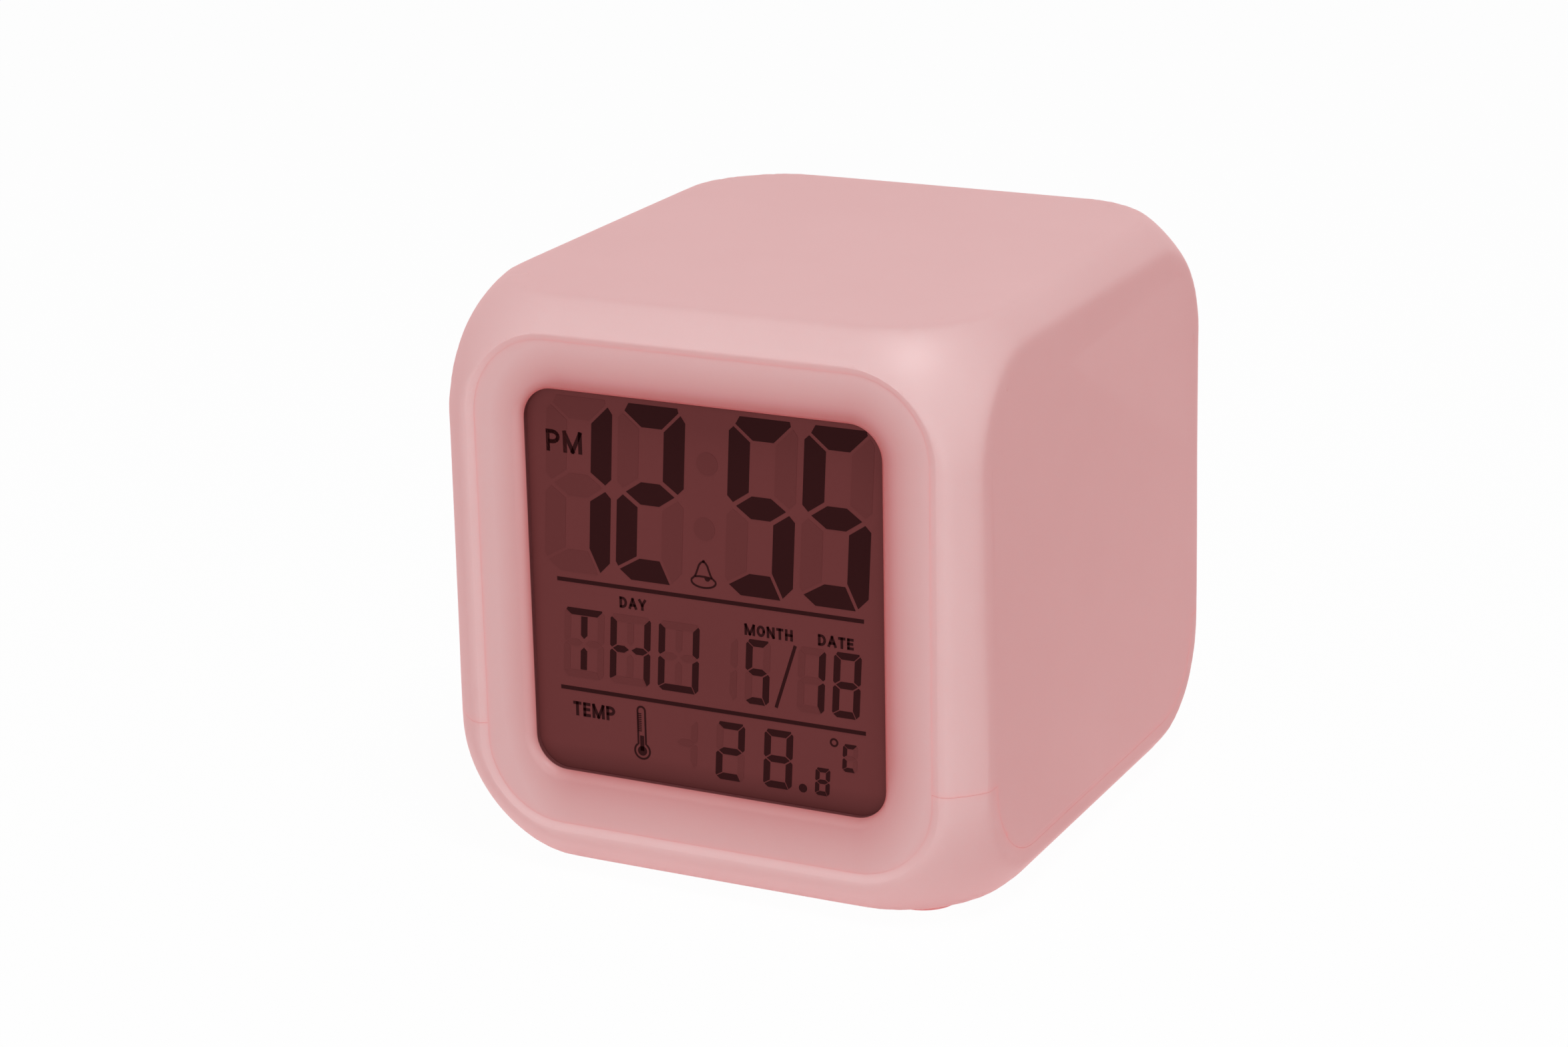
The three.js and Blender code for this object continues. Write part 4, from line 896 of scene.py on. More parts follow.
# A dark red field that hardly reflects, nearly black segments on it, and others that are just visible.
glass_finish = printed("display_glass", GLASS_COLOURS, 0.3, 0.5, shaded_foot)
ink_finish = printed("liquid_crystal_dark", INK_COLOURS, 0.35, 0.3)
ghost_finish = printed("liquid_crystal_clear", GHOST_COLOURS, 0.35, 0.5, shaded_foot)
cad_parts["lcd_glass"].data.materials.clear()
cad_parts["lcd_glass"].data.materials.append(glass_finish)
print("display finishes made")

# %% [markdown]
# ### Segments
# A digit has seven segments: bars a and d at the top and bottom, g in the middle, and four uprights
# b, c, e and f. Bars and uprights meet at slanting slits. The four corners differ a little, as on the
# real display, so each corner has its own shape, and one function cuts both segments that meet there.

# %% Segments of a digit
SLIT = 0.075  # half the gap between segments, as a share of their thickness
TIP = 0.28  # where the tips at mid height lie, as a share of the thickness
CORNER_SHAPES = {
    # outer end of the slit, cut along the side, cut along the end, as shares of the thickness
    "top left": ((0.25, 0.41), 0.67, 0.48),
    "top right": ((0.28, 0.26), 0.62, 0.39),
    "low left": ((0.16, 0.49), 0.75, 0.77),
    "low right": ((0.52, 0.07), 0.59, 0.57),
}


def corner_cut(shape, thickness):
    """Points of the bar and of the upright that meet at a corner, measured inwards from it."""
    (across, along), side_cut, end_cut = shape
    run = Vector((1 - across, 1 - along)).normalized()
    shift = Vector((run.y, -run.x)) * SLIT
    bar = [(end_cut, 0), (across + shift.x, along + shift.y), (1 + SLIT / run.y, 1)]
    upright = [(0, side_cut), (across - shift.x, along - shift.y), (1, 1 + SLIT / run.x)]
    return [[(x * thickness, z * thickness) for x, z in points] for points in (bar, upright)]


def from_corner(points, name, width, height):
    """Points measured inwards from a named corner, measured from the lower left one."""
    return [(width - x if "right" in name else x, height - z if "top" in name else z) for x, z in points]


def segment_outlines(width, height, thickness):
    """The outlines of the seven segments, from the digit's lower left corner."""
    middle = height / 2
    half = thickness / 2
    gap = 2 * SLIT * thickness
    tip = TIP * thickness
    bars = {}
    uprights = {}
    for name, shape in CORNER_SHAPES.items():
        bar, upright = corner_cut(shape, thickness)
        upright += [(thickness, middle - half - gap), (tip, middle - gap), (0, middle - tip - gap)]
        bars[name] = from_corner(bar, name, width, height)
        uprights[name] = from_corner(upright, name, width, height)
    near = [(thickness + gap, middle - half), (tip + gap, middle), (thickness + gap, middle + half)]
    return {
        "a": bars["top left"][::-1] + bars["top right"],
        "b": uprights["top right"],
        "c": uprights["low right"],
        "d": bars["low left"][::-1] + bars["low right"],
        "e": uprights["low left"],
        "f": uprights["top left"],
        "g": near + [(width - x, z) for x, z in near[::-1]],
    }


print("segments:", sorted(segment_outlines(10, 24, 3)))

# %% [markdown]
# The weekday needs letters, which seven segments can't show. Such displays split the middle bar in
# two and add two uprights in the middle. The letters start from a digit's outlines, so their corners
# and slits match.

# %% Letters of the weekday
LETTERS = {"T": "aij", "H": "bcefgh", "U": "bcdef"}
SPLIT = 0.2  # mm, half the gap in a letter's middle bar


def letter_outlines(width, height, thickness):
    """Segments for letters: the middle bar is split in two, and two uprights stand in the middle."""
    gap = 2 * SLIT * thickness
    half = thickness / 2
    middle = width / 2
    outlines = segment_outlines(width, height, thickness)
    near = outlines["g"][:3]
    outlines["g"] = near + [(middle - SPLIT + near[1][0] - x, z) for x, z in near[::-1]]
    outlines["h"] = [(width - x, z) for x, z in outlines["g"]]
    high = height - thickness - gap
    low = height / 2 + half + gap
    tip = [(middle - half, low + half), (middle, low), (middle + half, low + half)]
    outlines["i"] = [(middle + half, high), (middle - half, high), *tip]
    outlines["j"] = [(x, height - z) for x, z in outlines["i"]]
    return outlines


print("letters:", sorted(LETTERS))

# %% [markdown]
# ### Layout
# On the real display the layout is one drawing for the whole glass. It could be modelled piece by
# piece, but a table of places is easier to read and to change.

# %% Where everything on the display stands
# Places are in mm from the middle of the housing: x to the right, z up. A digit is given by its left
# side at mid height, its lowest z, its width, height and bar thickness.
LEAN = 0.055  # the digits lean to the right
DIGITS = {"": "", "1": "bc", "2": "abged", "5": "afgcd", "8": "abcdefg", "C": "afed"}
ALL = "abcdefg"
ONE = "bc"
MINUS_ONE = "bcg"
BIG = (9.75, 24.1, 3.05)
LETTER = (6.0, 9.7, 0.95)
MONTH = (3.5, 8.95, 0.95)
DATE = (3.9, 8.95, 0.95)
TEMPERATURE = (4.15, 8.15, 0.95)
SIGN = (3.4, 6.95, 0.95)
TENTH = (2.1, 3.85, 0.6)
DIGIT_ROWS = (
    # what is lit, the segments it has, left, low, size
    ("1", ALL, -22.85, 2.7, BIG),
    ("2", ALL, -12.2, 2.7, BIG),
    ("5", ALL, 3.85, 2.7, BIG),
    ("5", ALL, 14.55, 2.7, BIG),
    ("", ONE, 1.2, -12.1, MONTH),
    ("5", ALL, 5.95, -12.1, MONTH),
    ("1", ALL, 13.5, -12.1, DATE),
    ("8", ALL, 18.55, -12.1, DATE),
    ("", MINUS_ONE, -4.85, -22.5, SIGN),
    ("2", ALL, 1.35, -23.35, TEMPERATURE),
    ("8", ALL, 8.35, -23.35, TEMPERATURE),
    ("8", ALL, 15.75, -23.35, TENTH),
    ("C", ALL, 19.75, -19.5, TENTH),
)
LETTER_ROWS = (("T", -21.0, -12.05, LETTER), ("H", -14.05, -12.05, LETTER), ("U", -6.85, -12.05, LETTER))
RULES = ((-21.7, 23.05, 1.45), (-21.75, 23.1, -13.8))
RULE_THICKNESS = 0.55
CAPTIONS = (
    # words, left, right, low, high, thickness of the strokes
    ("PM", -22.55, -17.2, 19.0, 22.0, 0.56),
    ("DAY", -12.4, -8.45, -1.4, 0.15, 0.36),
    ("MONTH", 5.95, 12.9, -2.65, -1.1, 0.36),
    ("DATE", 16.5, 21.55, -2.65, -1.1, 0.36),
    ("TEMP", -20.0, -13.65, -17.6, -15.6, 0.42),
)
print(len(DIGIT_ROWS) + len(LETTER_ROWS), "characters on the display")

# %% Draw the segments
def add_outline(bm, points):
    """Add one flat outline of (x, z) points as a face."""
    return bm.faces.new([bm.verts.new((x, 0.0, z)) for x, z in points])


def add_character(lit, ghost, outlines, shown, left, low, height):
    """Add each segment of one character to the lit or to the ghost layer."""
    for key, points in outlines.items():
        leaning = [(left + x + LEAN * (z - height / 2), low + z) for x, z in points]
        add_outline(lit if key in shown else ghost, leaning)


lit = bmesh.new()
ghost = bmesh.new()
for shown, present, left, low, size in DIGIT_ROWS:
    outlines = segment_outlines(*size)
    outlines = {key: outlines[key] for key in present}
    add_character(lit, ghost, outlines, DIGITS[shown], left, low, size[1])
for shown, left, low, size in LETTER_ROWS:
    add_character(lit, ghost, letter_outlines(*size), LETTERS[shown], left, low, size[1])
for left, right, middle in RULES:
    low = middle - RULE_THICKNESS / 2
    high = middle + RULE_THICKNESS / 2
    add_outline(lit, [(left, low), (right, low), (right, high), (left, high)])
print(len(lit.faces), "lit and", len(ghost.faces), "clear segments")

# %% [markdown]
# ### Signs
# The small signs are a bell, a thermometer, a slash, a degree ring and dots. Most are drawn with a
# line of even thickness, so one function lays a narrow strip along a row of points.

# %% Lines, arcs and discs
def add_line(bm, points, thickness, closed=False, overrun=0.0):
    """Add a flat strip along (x, z) points. An open one may run past both ends."""
    path = [Vector(point) for point in points]
    last = len(path) - 1
    path[0] += (path[0] - path[1]).normalized() * overrun
    path[last] += (path[last] - path[last - 1]).normalized() * overrun
    sides = []
    for index, point in enumerate(path):
        before = path[index - 1] if closed or index > 0 else point
        after = path[(index + 1) % len(path)] if closed or index < last else point
        across = (after - before).orthogonal().normalized() * thickness / 2
        sides.append([bm.verts.new((side.x, 0.0, side.y)) for side in (point + across, point - across)])
    pairs = list(zip(sides, sides[1:]))
    if closed:
        pairs.append((sides[-1], sides[0]))
    for start, end in pairs:
        bm.faces.new((start[0], start[1], end[1], end[0]))


def arc(x, z, radius_x, radius_z, start, end, steps):
    """Points along part of an ellipse, angles in degrees."""
    angles = [math.radians(start + (end - start) * step / steps) for step in range(steps + 1)]
    return [(x + radius_x * math.cos(angle), z + radius_z * math.sin(angle)) for angle in angles]


def add_disc(bm, x, z, radius, steps=24):
    """Add a flat disc."""
    add_outline(bm, arc(x, z, radius, radius, 0, 360, steps)[:-1])


print("half circle:", len(arc(0, 0, 1, 1, 0, 180, 12)), "points")

# %% Bell and colon
LINE = 0.26  # mm, thickness of the signs' lines
BELL_SIDES = (
    (-1.6, 4.0),
    (-1.1, 4.45),
    (-0.9, 4.85),
    (-0.62, 5.6),
    (-0.45, 6.05),
    (-0.15, 6.4),
    (0.2, 6.58),
    (0.5, 6.35),
    (0.75, 6.0),
    (0.95, 5.4),
    (1.2, 4.75),
    (1.4, 4.4),
    (1.88, 4.0),
)
BELL_MOUTH = ((-1.1, 4.42), (-0.4, 4.5), (0.4, 4.48), (1.4, 4.38))
BELL_RIM = (0.15, 3.78, 1.77, 0.8)  # its middle, half its width and half its height
CLAPPER = (0.72, 4.36, 0.42, 0.46)
BELL_TOP = (0.22, 6.58, 0.22)  # its middle and radius
COLON_DOTS = ((1.1, 19.85), (0.45, 11.0))
COLON_RADIUS = 1.55

bell_rim = arc(*BELL_RIM, 0, -180, 14)
add_line(lit, [*BELL_SIDES, *bell_rim], LINE, closed=True)
add_line(lit, BELL_MOUTH, LINE)
add_outline(lit, arc(*CLAPPER, 180, 360, 8))
add_disc(lit, *BELL_TOP, 10)
for place in COLON_DOTS:
    add_disc(ghost, *place, COLON_RADIUS)
print(len(lit.faces), "lit and", len(ghost.faces), "clear faces")

# %% Thermometer, slash and degree ring
BULB = (-9.7, -21.2)
BULB_RADIUS = 1.12
TUBE_HALF = 0.56
TUBE_TOP = -15.5
TICKS = 10
TICK_TOP = -15.95
TICK_PITCH = 0.27
MERCURY_RADIUS = 0.68
MERCURY_TOP = -19.05
MERCURY_THICKNESS = 0.58
SLASH = ((10.28, -12.1), (13.23, -3.2))
SLASH_THICKNESS = 0.45
DEGREE_RING = (18.55, -15.7)
DEGREE_RADIUS = 0.48
POINT = (13.95, -22.75)
POINT_RADIUS = 0.6

bulb_x, bulb_z = BULB
glass_tube = arc(bulb_x, bulb_z, BULB_RADIUS, BULB_RADIUS, 120, 420, 22)
glass_tube += arc(bulb_x, TUBE_TOP, TUBE_HALF, TUBE_HALF, 0, 180, 10)
add_line(lit, glass_tube, LINE, closed=True)
add_disc(lit, bulb_x, bulb_z, MERCURY_RADIUS)
add_line(lit, [(bulb_x, bulb_z), (bulb_x, MERCURY_TOP)], MERCURY_THICKNESS)
for tick in range(TICKS):
    z = TICK_TOP - tick * TICK_PITCH
    add_line(lit, [(bulb_x - TUBE_HALF, z), (bulb_x, z)], TICK_PITCH / 2)
add_line(lit, SLASH, SLASH_THICKNESS)
add_line(lit, arc(*DEGREE_RING, DEGREE_RADIUS, DEGREE_RADIUS, 0, 360, 20)[:-1], LINE, closed=True)
add_disc(lit, *POINT, POINT_RADIUS, 16)
print(len(lit.faces), "lit and", len(ghost.faces), "clear faces")

# %% [markdown]
# ### Captions
# The captions are generic words in bold capitals. The built-in typeface is too thin, and thickening
# its outlines spoils narrow letters like M. Ten letters are enough here, so each is drawn with a few
# strokes in a unit box.

# %% Captions
LETTER_GAP = 0.14  # between letters, as a share of their height
BOWL = arc(0.45, 0.72, 0.55, 0.28, 90, -90, 8)
BELLY = arc(0.35, 0.5, 0.65, 0.5, 90, -90, 12)
STEM_LINE = ((0, 0), (0, 1))
STROKES = {
    # width as a share of the height, and the strokes
    "A": (0.74, (((0, 0), (0.5, 1)), ((0.5, 1), (1, 0)), ((0.2, 0.3), (0.8, 0.3)))),
    "D": (0.66, (STEM_LINE, ((0, 1), *BELLY, (0, 0)))),
    "E": (0.54, (STEM_LINE, ((0, 1), (1, 1)), ((0, 0.52), (0.9, 0.52)), ((0, 0), (1, 0)))),
    "H": (0.66, (STEM_LINE, ((1, 0), (1, 1)), ((0, 0.5), (1, 0.5)))),
    "M": (0.9, (STEM_LINE, ((0, 1), (0.5, 0)), ((0.5, 0), (1, 1)), ((1, 1), (1, 0)))),
    "N": (0.68, (STEM_LINE, ((0, 1), (1, 0)), ((1, 0), (1, 1)))),
    "O": (0.72, (arc(0.5, 0.5, 0.5, 0.5, 0, 360, 24),)),
    "P": (0.66, (STEM_LINE, ((0, 1), *BOWL, (0, 0.44)))),
    "T": (0.6, (((0, 1), (1, 1)), ((0.5, 1), (0.5, 0)))),
    "Y": (0.68, (((0, 1), (0.5, 0.45)), ((1, 1), (0.5, 0.45)), ((0.5, 0.45), (0.5, 0)))),
}


def add_caption(bm, words, left, right, low, high, thickness):
    """Draw words with strokes so that they fill a box."""
    widths = [STROKES[letter][0] for letter in words]
    unit = (right - left) / (sum(widths) + LETTER_GAP * (len(words) - 1))
    for letter, width in zip(words, widths):
        wide = width * unit - thickness
        tall = high - low - thickness
        for path in STROKES[letter][1]:
            places = [(left + thickness / 2 + x * wide, low + thickness / 2 + z * tall) for x, z in path]
            add_line(bm, places, thickness, overrun=thickness / 2)
        left += (width + LETTER_GAP) * unit


for caption in CAPTIONS:
    add_caption(lit, *caption)
print(len(lit.faces), "lit faces with the captions")

# %% [markdown]
# The finished layers get a thickness of a few hundredths of a millimetre and lie just in front of the
# glass.

# %% Put the layers on the glass
GLASS_FRONT_Y = -40.0
LAYER_GAP = 0.02
LAYER_THICKNESS = 0.03
ART_SCALE = 1.00295  # the places were measured 1.2 mm in front of the glass
ART_SHIFT = (-0.627, -0.466)


def thicken(bm):
    """Give a flat layer its thickness, towards the front."""
    extruded = bmesh.ops.extrude_face_region(bm, geom=bm.faces[:])
    fresh = [item for item in extruded["geom"] if isinstance(item, bmesh.types.BMVert)]
    bmesh.ops.translate(bm, vec=(0, -LAYER_THICKNESS, 0), verts=fresh)


def lay_on_glass(bm, name, material):
    """Put a layer just in front of the glass."""
    bmesh.ops.scale(bm, vec=(ART_SCALE, 1.0, ART_SCALE), verts=bm.verts)
    place = (ART_SHIFT[0], GLASS_FRONT_Y - LAYER_GAP, MIDDLE_Z + ART_SHIFT[1])
    bmesh.ops.translate(bm, vec=place, verts=bm.verts)
    bmesh.ops.recalc_face_normals(bm, faces=bm.faces)
    finish_piece(bm, name, "clock", material, "display")


thicken(lit)
thicken(ghost)
lay_on_glass(lit, "lit_segments", ink_finish)
lay_on_glass(ghost, "clear_segments", ghost_finish)

# %% [markdown]
# ## Rear panel and battery door
# The rear panel has the same outline as the front one. The battery box is moulded on behind it, and
# the door lies flush in a recess. Carving is the quickest way here, because the many openings are
# plain cuts through a plate.

# %% Rear panel
REAR_FACE_Y = 42.3
REAR_INNER_Y = 40.3
RIM = (-30.5068, 30.5068, 9.7432, 72.5568, 8.75)
BAY = (-25.45, 25.45, 12.4932, 56.2932, 0.4)
BAY_WALL = 1.4
BAY_FLOOR_Y = 29.35
DOOR = (-26.35, 26.35, 11.5932, 57.1932, 2.0)
DOOR_GAP = 0.2
MOUTH = 0.12  # the edge of an opening is eased this much
THUMB_RADIUS = 5.0
THUMB_DEPTH = 0.8


def flared_hole(outline, floor):
    """A cutter through the rear panel's face down to a depth, with an eased mouth."""
    sections = (
        (outline, floor),
        (outline, REAR_FACE_Y - MOUTH),
        (grown(outline, MOUTH), REAR_FACE_Y),
        (grown(outline, MOUTH), REAR_FACE_Y + PAST),
    )
    return loft(sections, "Y")[0]


rear, _ = loft(
    (
        (PANEL, REAR_FACE_Y),
        (PANEL, FLANGE_FRONT_Y),
        (FLANGE, FLANGE_FRONT_Y),
        (FLANGE, PANEL_BACK_Y),
    ),
    "Y",
)
rear = carved(rear, [loft([(RIM, PANEL_BACK_Y - PAST), (RIM, REAR_INNER_Y)], "Y")[0]])
box = grown(BAY, BAY_WALL)
rear = carved(rear, [loft([(box, BAY_FLOOR_Y - BAY_WALL), (box, REAR_INNER_Y + ROOT)], "Y")[0]], "UNION")
bay = loft([(BAY, BAY_FLOOR_Y), (BAY, REAR_FACE_Y + PAST)], "Y")[0]
recess = flared_hole(grown(DOOR, DOOR_GAP), REAR_INNER_Y)
thumb_floor = REAR_FACE_Y - THUMB_DEPTH
thumb = rod(THUMB_RADIUS - MOUTH, thumb_floor, REAR_FACE_Y + MOUTH, 0, DOOR[3], "Y", THUMB_RADIUS)
rear = carved(rear, [bay, recess, thumb])
print("rear panel so far:", len(rear.faces), "faces")

# %% Openings of the rear panel
HOOK_X = (-15.0, 15.0)
HOOK_SLOT_Y = (38.2, 40.3)
HOOK_SLOT = (6.6, BAY_WALL + 2.0, 0.2)
KEY_Z = 65.5068
KEY_X = (-23.498, -13.049, -2.601, 7.848)
KEY_CAP = (7.398, 4.6, 2.1)
KEY_FIT = 0.3
SLIDE_X = 20.897
SLIDE_SLOT = (8.6, 4.6, 0.9)

slots = []
for x in HOOK_X:
    outline = centred(*HOOK_SLOT, x, BAY[2] - BAY_WALL / 2)
    slots.append(loft([(outline, HOOK_SLOT_Y[0]), (outline, HOOK_SLOT_Y[1])], "Y")[0])
through = PANEL_BACK_Y - PAST
keyways = [flared_hole(grown(centred(*KEY_CAP, x, KEY_Z), KEY_FIT), through) for x in KEY_X]
keyways.append(flared_hole(centred(*SLIDE_SLOT, SLIDE_X, KEY_Z), through))
rear = carved(rear, [gathered(slots), gathered(keyways)])
print("rear panel with its openings:", len(rear.faces), "faces")

# %% Bosses of the rear panel
KEY_BOSS_X = (-17.0, 17.0)
KEY_BOSS_Z = 59.7068
KEY_BOSS_END_Y = 30.0

bosses = []
pilots = []
for x in KEY_BOSS_X:
    bosses.append(rod(PRESS_POST, KEY_BOSS_END_Y, REAR_INNER_Y + ROOT, x, KEY_BOSS_Z, "Y"))
    pilot_end = KEY_BOSS_END_Y + PILOT_DEPTH
    pilots.append(rod(PILOT, KEY_BOSS_END_Y - PAST, pilot_end, x, KEY_BOSS_Z, "Y"))
rear = carved(rear, [gathered(bosses)], "UNION")
rear = carved(rear, [gathered(pilots)])
print("rear panel with its bosses:", len(rear.faces), "faces")

# %% [markdown]
# The back is the same glowing plastic. With an even glow the narrow gaps round the door and the keys
# would shine bright red, because their walls would light each other. On the real clock they get no
# light from behind, so the glow is kept to the faces that look backwards.

# %% Rear panel finish
def glow_outwards(tree, place, base):
    """Let only the faces that look back glow: the walls of the gaps get no light from behind."""
    normal = add_node(tree, "ShaderNodeTexCoord").outputs["Normal"]
    outward = add_node(tree, "ShaderNodeSeparateXYZ", {0: normal}).outputs["Y"]
    product = {0: outward, 1: GLOW_STRENGTH}
    strength = add_node(tree, "ShaderNodeMath", product, operation="MULTIPLY", use_clamp=True)
    return {"Emission Strength": strength.outputs[0]}


# The same plastic, but with dark gaps round the door and the keys.
rear_finish = satin_plastic("milky_polypropylene_back", PANEL_COLOURS, GLOW_STRENGTH, SATIN, glow_outwards)
finish_piece(rear, "back_panel", "clock", rear_finish, "panel", "rear_panel")

# %% [markdown]
# The battery door is a thin lid that snaps in flush. Two hooks at its lower edge hold it, and it
# swings on them. Three ribs near the thumb recess give grip. The lid is a loft with a rounded face
# edge, and the rest is joined on.

# %% Battery door
DOOR_INNER_Y = 40.6
DOOR_ROUND = 0.3
HOOK_WIDTH = 6.0
HOOK_Y = (38.9, 40.0)
HOOK_LOW = 10.4932
NECK_LOW = 12.7932
NECK_HIGH = 14.2932
GRIP_RIB = (16.0, 0.8, 0.38)
GRIP_PROUD = 0.4
GRIP_ROUND = 0.2
HOOK_CORNER = 0.1
EDGE_STEPS = 3  # faces across a small rounded edge
GRIP_Z = (53.1932, 51.1932, 49.1932)

door, loops = loft([(DOOR, DOOR_INNER_Y), (DOOR, REAR_FACE_Y)], "Y")
round_edges(door, loops[1], DOOR_ROUND, EDGE_STEPS)
necks = []
hooks = []
for x in HOOK_X:
    neck = (x - HOOK_WIDTH / 2, x + HOOK_WIDTH / 2, NECK_LOW, NECK_HIGH, HOOK_CORNER)
    hook = (x - HOOK_WIDTH / 2, x + HOOK_WIDTH / 2, HOOK_LOW, NECK_HIGH, HOOK_CORNER)
    necks.append(loft([(neck, HOOK_Y[0]), (neck, DOOR_INNER_Y + ROOT)], "Y")[0])
    hooks.append(loft([(hook, HOOK_Y[0]), (hook, HOOK_Y[1])], "Y")[0])
ribs = []
for z in GRIP_Z:
    outline = centred(*GRIP_RIB, 0, z)
    rib, rib_loops = loft([(outline, REAR_FACE_Y - ROOT), (outline, REAR_FACE_Y + GRIP_PROUD)], "Y")
    round_edges(rib, rib_loops[1], GRIP_ROUND, EDGE_STEPS)
    ribs.append(rib)
door = carved(door, [gathered(necks), gathered(hooks), gathered(ribs)], "UNION")
finish_piece(door, "battery_cover", "door", rear_finish, "panel", "battery_door")

# %% [markdown]
# ## Keys and light switch
# Four keys with softly rounded caps press through the rear panel. Each has a flange behind the panel
# and a stem. A loft of four outlines gives cap and flange in one go, and the cap's edge is then
# rounded.

# %% Keys
KEY_NAMES = ("mode", "set", "up", "down")
KEY_BACK_Y = 39.0
KEY_FLANGE_Y = 40.0
KEY_TOP_Y = 43.3
KEY_FLANGE = 1.1
KEY_ROUND = 0.7
KEY_ROUND_STEPS = 4
STEM = 1.5
STEM_END_Y = 36.0

# Paler and a little smoother than the panel, so the keys stand out.
key_finish = satin_plastic("milky_abs_keys", ("#c6c7c7", "#c1c2c2"), GLOW_STRENGTH / 2, 0.38)
width, height, corner = KEY_CAP
for name, x in zip(KEY_NAMES, KEY_X):
    cap = centred(width, height, corner, x, KEY_Z)
    flange = centred(width + 2 * KEY_FLANGE, height + 2 * KEY_FLANGE, corner, x, KEY_Z)
    sections = ((flange, KEY_BACK_Y), (flange, KEY_FLANGE_Y), (cap, KEY_FLANGE_Y), (cap, KEY_TOP_Y))
    key, loops = loft(sections, "Y")
    round_edges(key, loops[3], KEY_ROUND, KEY_ROUND_STEPS)
    key = carved(key, [rod(STEM, STEM_END_Y, KEY_BACK_Y + ROOT, x, KEY_Z, "Y")], "UNION")
    finish_piece(key, f"{name}_key_cap", f"{name}_key", key_finish, "milky", f"{name}_button")

# %% [markdown]
# The light switch has a small dark knob of moulded ABS that slides in a slot. Like a key it is a loft
# with a rounded cap. Three grooves give the finger a hold. They are cut, because a bump in the
# material would not show in the knob's outline.

# %% Dark moulded plastic
def satin_dark(name, colours, roughness, grain):
    """Moulded dark plastic or rubber: nearly even colour and a fine matt grain."""
    material, tree = blank_material(name)
    place = add_node(tree, "ShaderNodeTexCoord").outputs["Object"]
    fine = {"Vector": place, "Scale": per_metre(grain), "Detail": 3.0}
    noise = add_node(tree, "ShaderNodeTexNoise", fine)
    pair = {FACTOR: noise.outputs[0], FIRST: linear(colours[0]), SECOND: linear(colours[1])}
    base = add_node(tree, "ShaderNodeMix", pair, data_type="RGBA").outputs[MIXED]
    relief = {"Height": noise.outputs[0], "Strength": 0.1, "Distance": 0.1 * MM}
    bump = add_node(tree, "ShaderNodeBump", relief)
    sockets = {"Base Color": base, "Roughness": roughness, "Normal": bump.outputs[0]}
    shader = add_node(tree, "ShaderNodeBsdfPrincipled", sockets)
    add_node(tree, "ShaderNodeOutputMaterial", {"Surface": shader.outputs[0]})
    return material


# A dark knob with a dull sheen, which stands out from the pale panel.
abs_finish = satin_dark("dark_abs", ("#2f2c2d", "#262325"), 0.5, 0.5)
print("made", abs_finish.name)

# %% Light switch knob
KNOB_X = 19.397
KNOB_CAP = (5.0, 4.0, 0.6)
KNOB_FLANGE = (11.8, 6.6, 0.6)
KNOB_STEM = (3.0, 2.0, 0.1)
KNOB_TOP_Y = 43.0
KNOB_STEM_Y = 33.9
KNOB_ROUND = 0.3
KNOB_GROOVES = (-1.4, 0.0, 1.4)
GROOVE_WIDTH = 0.5
GROOVE_DEPTH = 0.4
GROOVE_CORNER = 0.1

cap = centred(*KNOB_CAP, KNOB_X, KEY_Z)
flange = centred(*KNOB_FLANGE, KNOB_X, KEY_Z)
sections = ((flange, KEY_BACK_Y), (flange, KEY_FLANGE_Y), (cap, KEY_FLANGE_Y), (cap, KNOB_TOP_Y))
knob, loops = loft(sections, "Y")
round_edges(knob, loops[3], KNOB_ROUND, EDGE_STEPS)
stem = centred(*KNOB_STEM, KNOB_X, KEY_Z)
knob = carved(knob, [loft([(stem, KNOB_STEM_Y), (stem, KEY_BACK_Y + ROOT)], "Y")[0]], "UNION")
grooves = []
for offset in KNOB_GROOVES:
    outline = centred(GROOVE_WIDTH, KNOB_CAP[1] + PAST, GROOVE_CORNER, KNOB_X + offset, KEY_Z)
    ends = (KNOB_TOP_Y - GROOVE_DEPTH, KNOB_TOP_Y + PAST)
    grooves.append(loft([(outline, end) for end in ends], "Y")[0])
knob = carved(knob, [gathered(grooves)])
finish_piece(knob, "light_slide_knob", "light_knob", abs_finish, "dark_plastic", "light_switch_knob")

# %% [markdown]
# ## Underside
# Four rubber feet, four deep-set housing screws, and the round plate that works the snooze and
# light switch when the whole clock is pressed down. They are turned pieces, so each is one spun
# profile with rounded corners.

# %% Press plate and feet
PRESS_PROFILE = (
    (0, 0.2),
    (8.3, 0.2),
    (8.8, 0.4),
    (9.0, 0.9),
    (9.0, 3.3),
    (10.5, 3.3),
    (10.5, 4.3),
    (2.0, 4.3),
    (2.0, 6.3),
    (0, 6.3),
)
FOOT_PROFILE = (
    (0, 0.25),
    (3.2, 0.25),
    (3.4, 0.0),
    (4.5, 0.0),
    (4.85, 0.15),
    (5.0, 0.5),
    (5.0, 1.7),
    (0, 1.7),
)
finish_piece(spun(PRESS_PROFILE), "press_disc", "press_plate", key_finish, "milky", "press_button")
# Clear rubber with a painted glow as strong as the housing's, so that it takes the colour of the glowing
# base and doesn't look dark in the shade under it.
foot_glow_finish = satin_plastic("clear_silicone_rubber_painted_glow", ("#c8c4c4", "#c0bcbc"), GLOW_STRENGTH, 0.6)
for index, (x, y) in enumerate(CORNERS):
    foot = moved(spun(FOOT_PROFILE), "Z", x * FOOT_X, y * FOOT_Y, 0)
    finish_piece(foot, f"rubber_foot_{index + 1}", "clock", foot_glow_finish, "rubber", f"foot_{index + 1}")

# %% [markdown]
# ## Metals
# The screws are zinc plated and the battery contacts nickel plated. A metal lives from its
# reflections, so fine noise goes into its roughness and a faint relief, and its colour stays even.

# %% Steel and nickel
STEEL_COLOUR = "#b9bbbd"


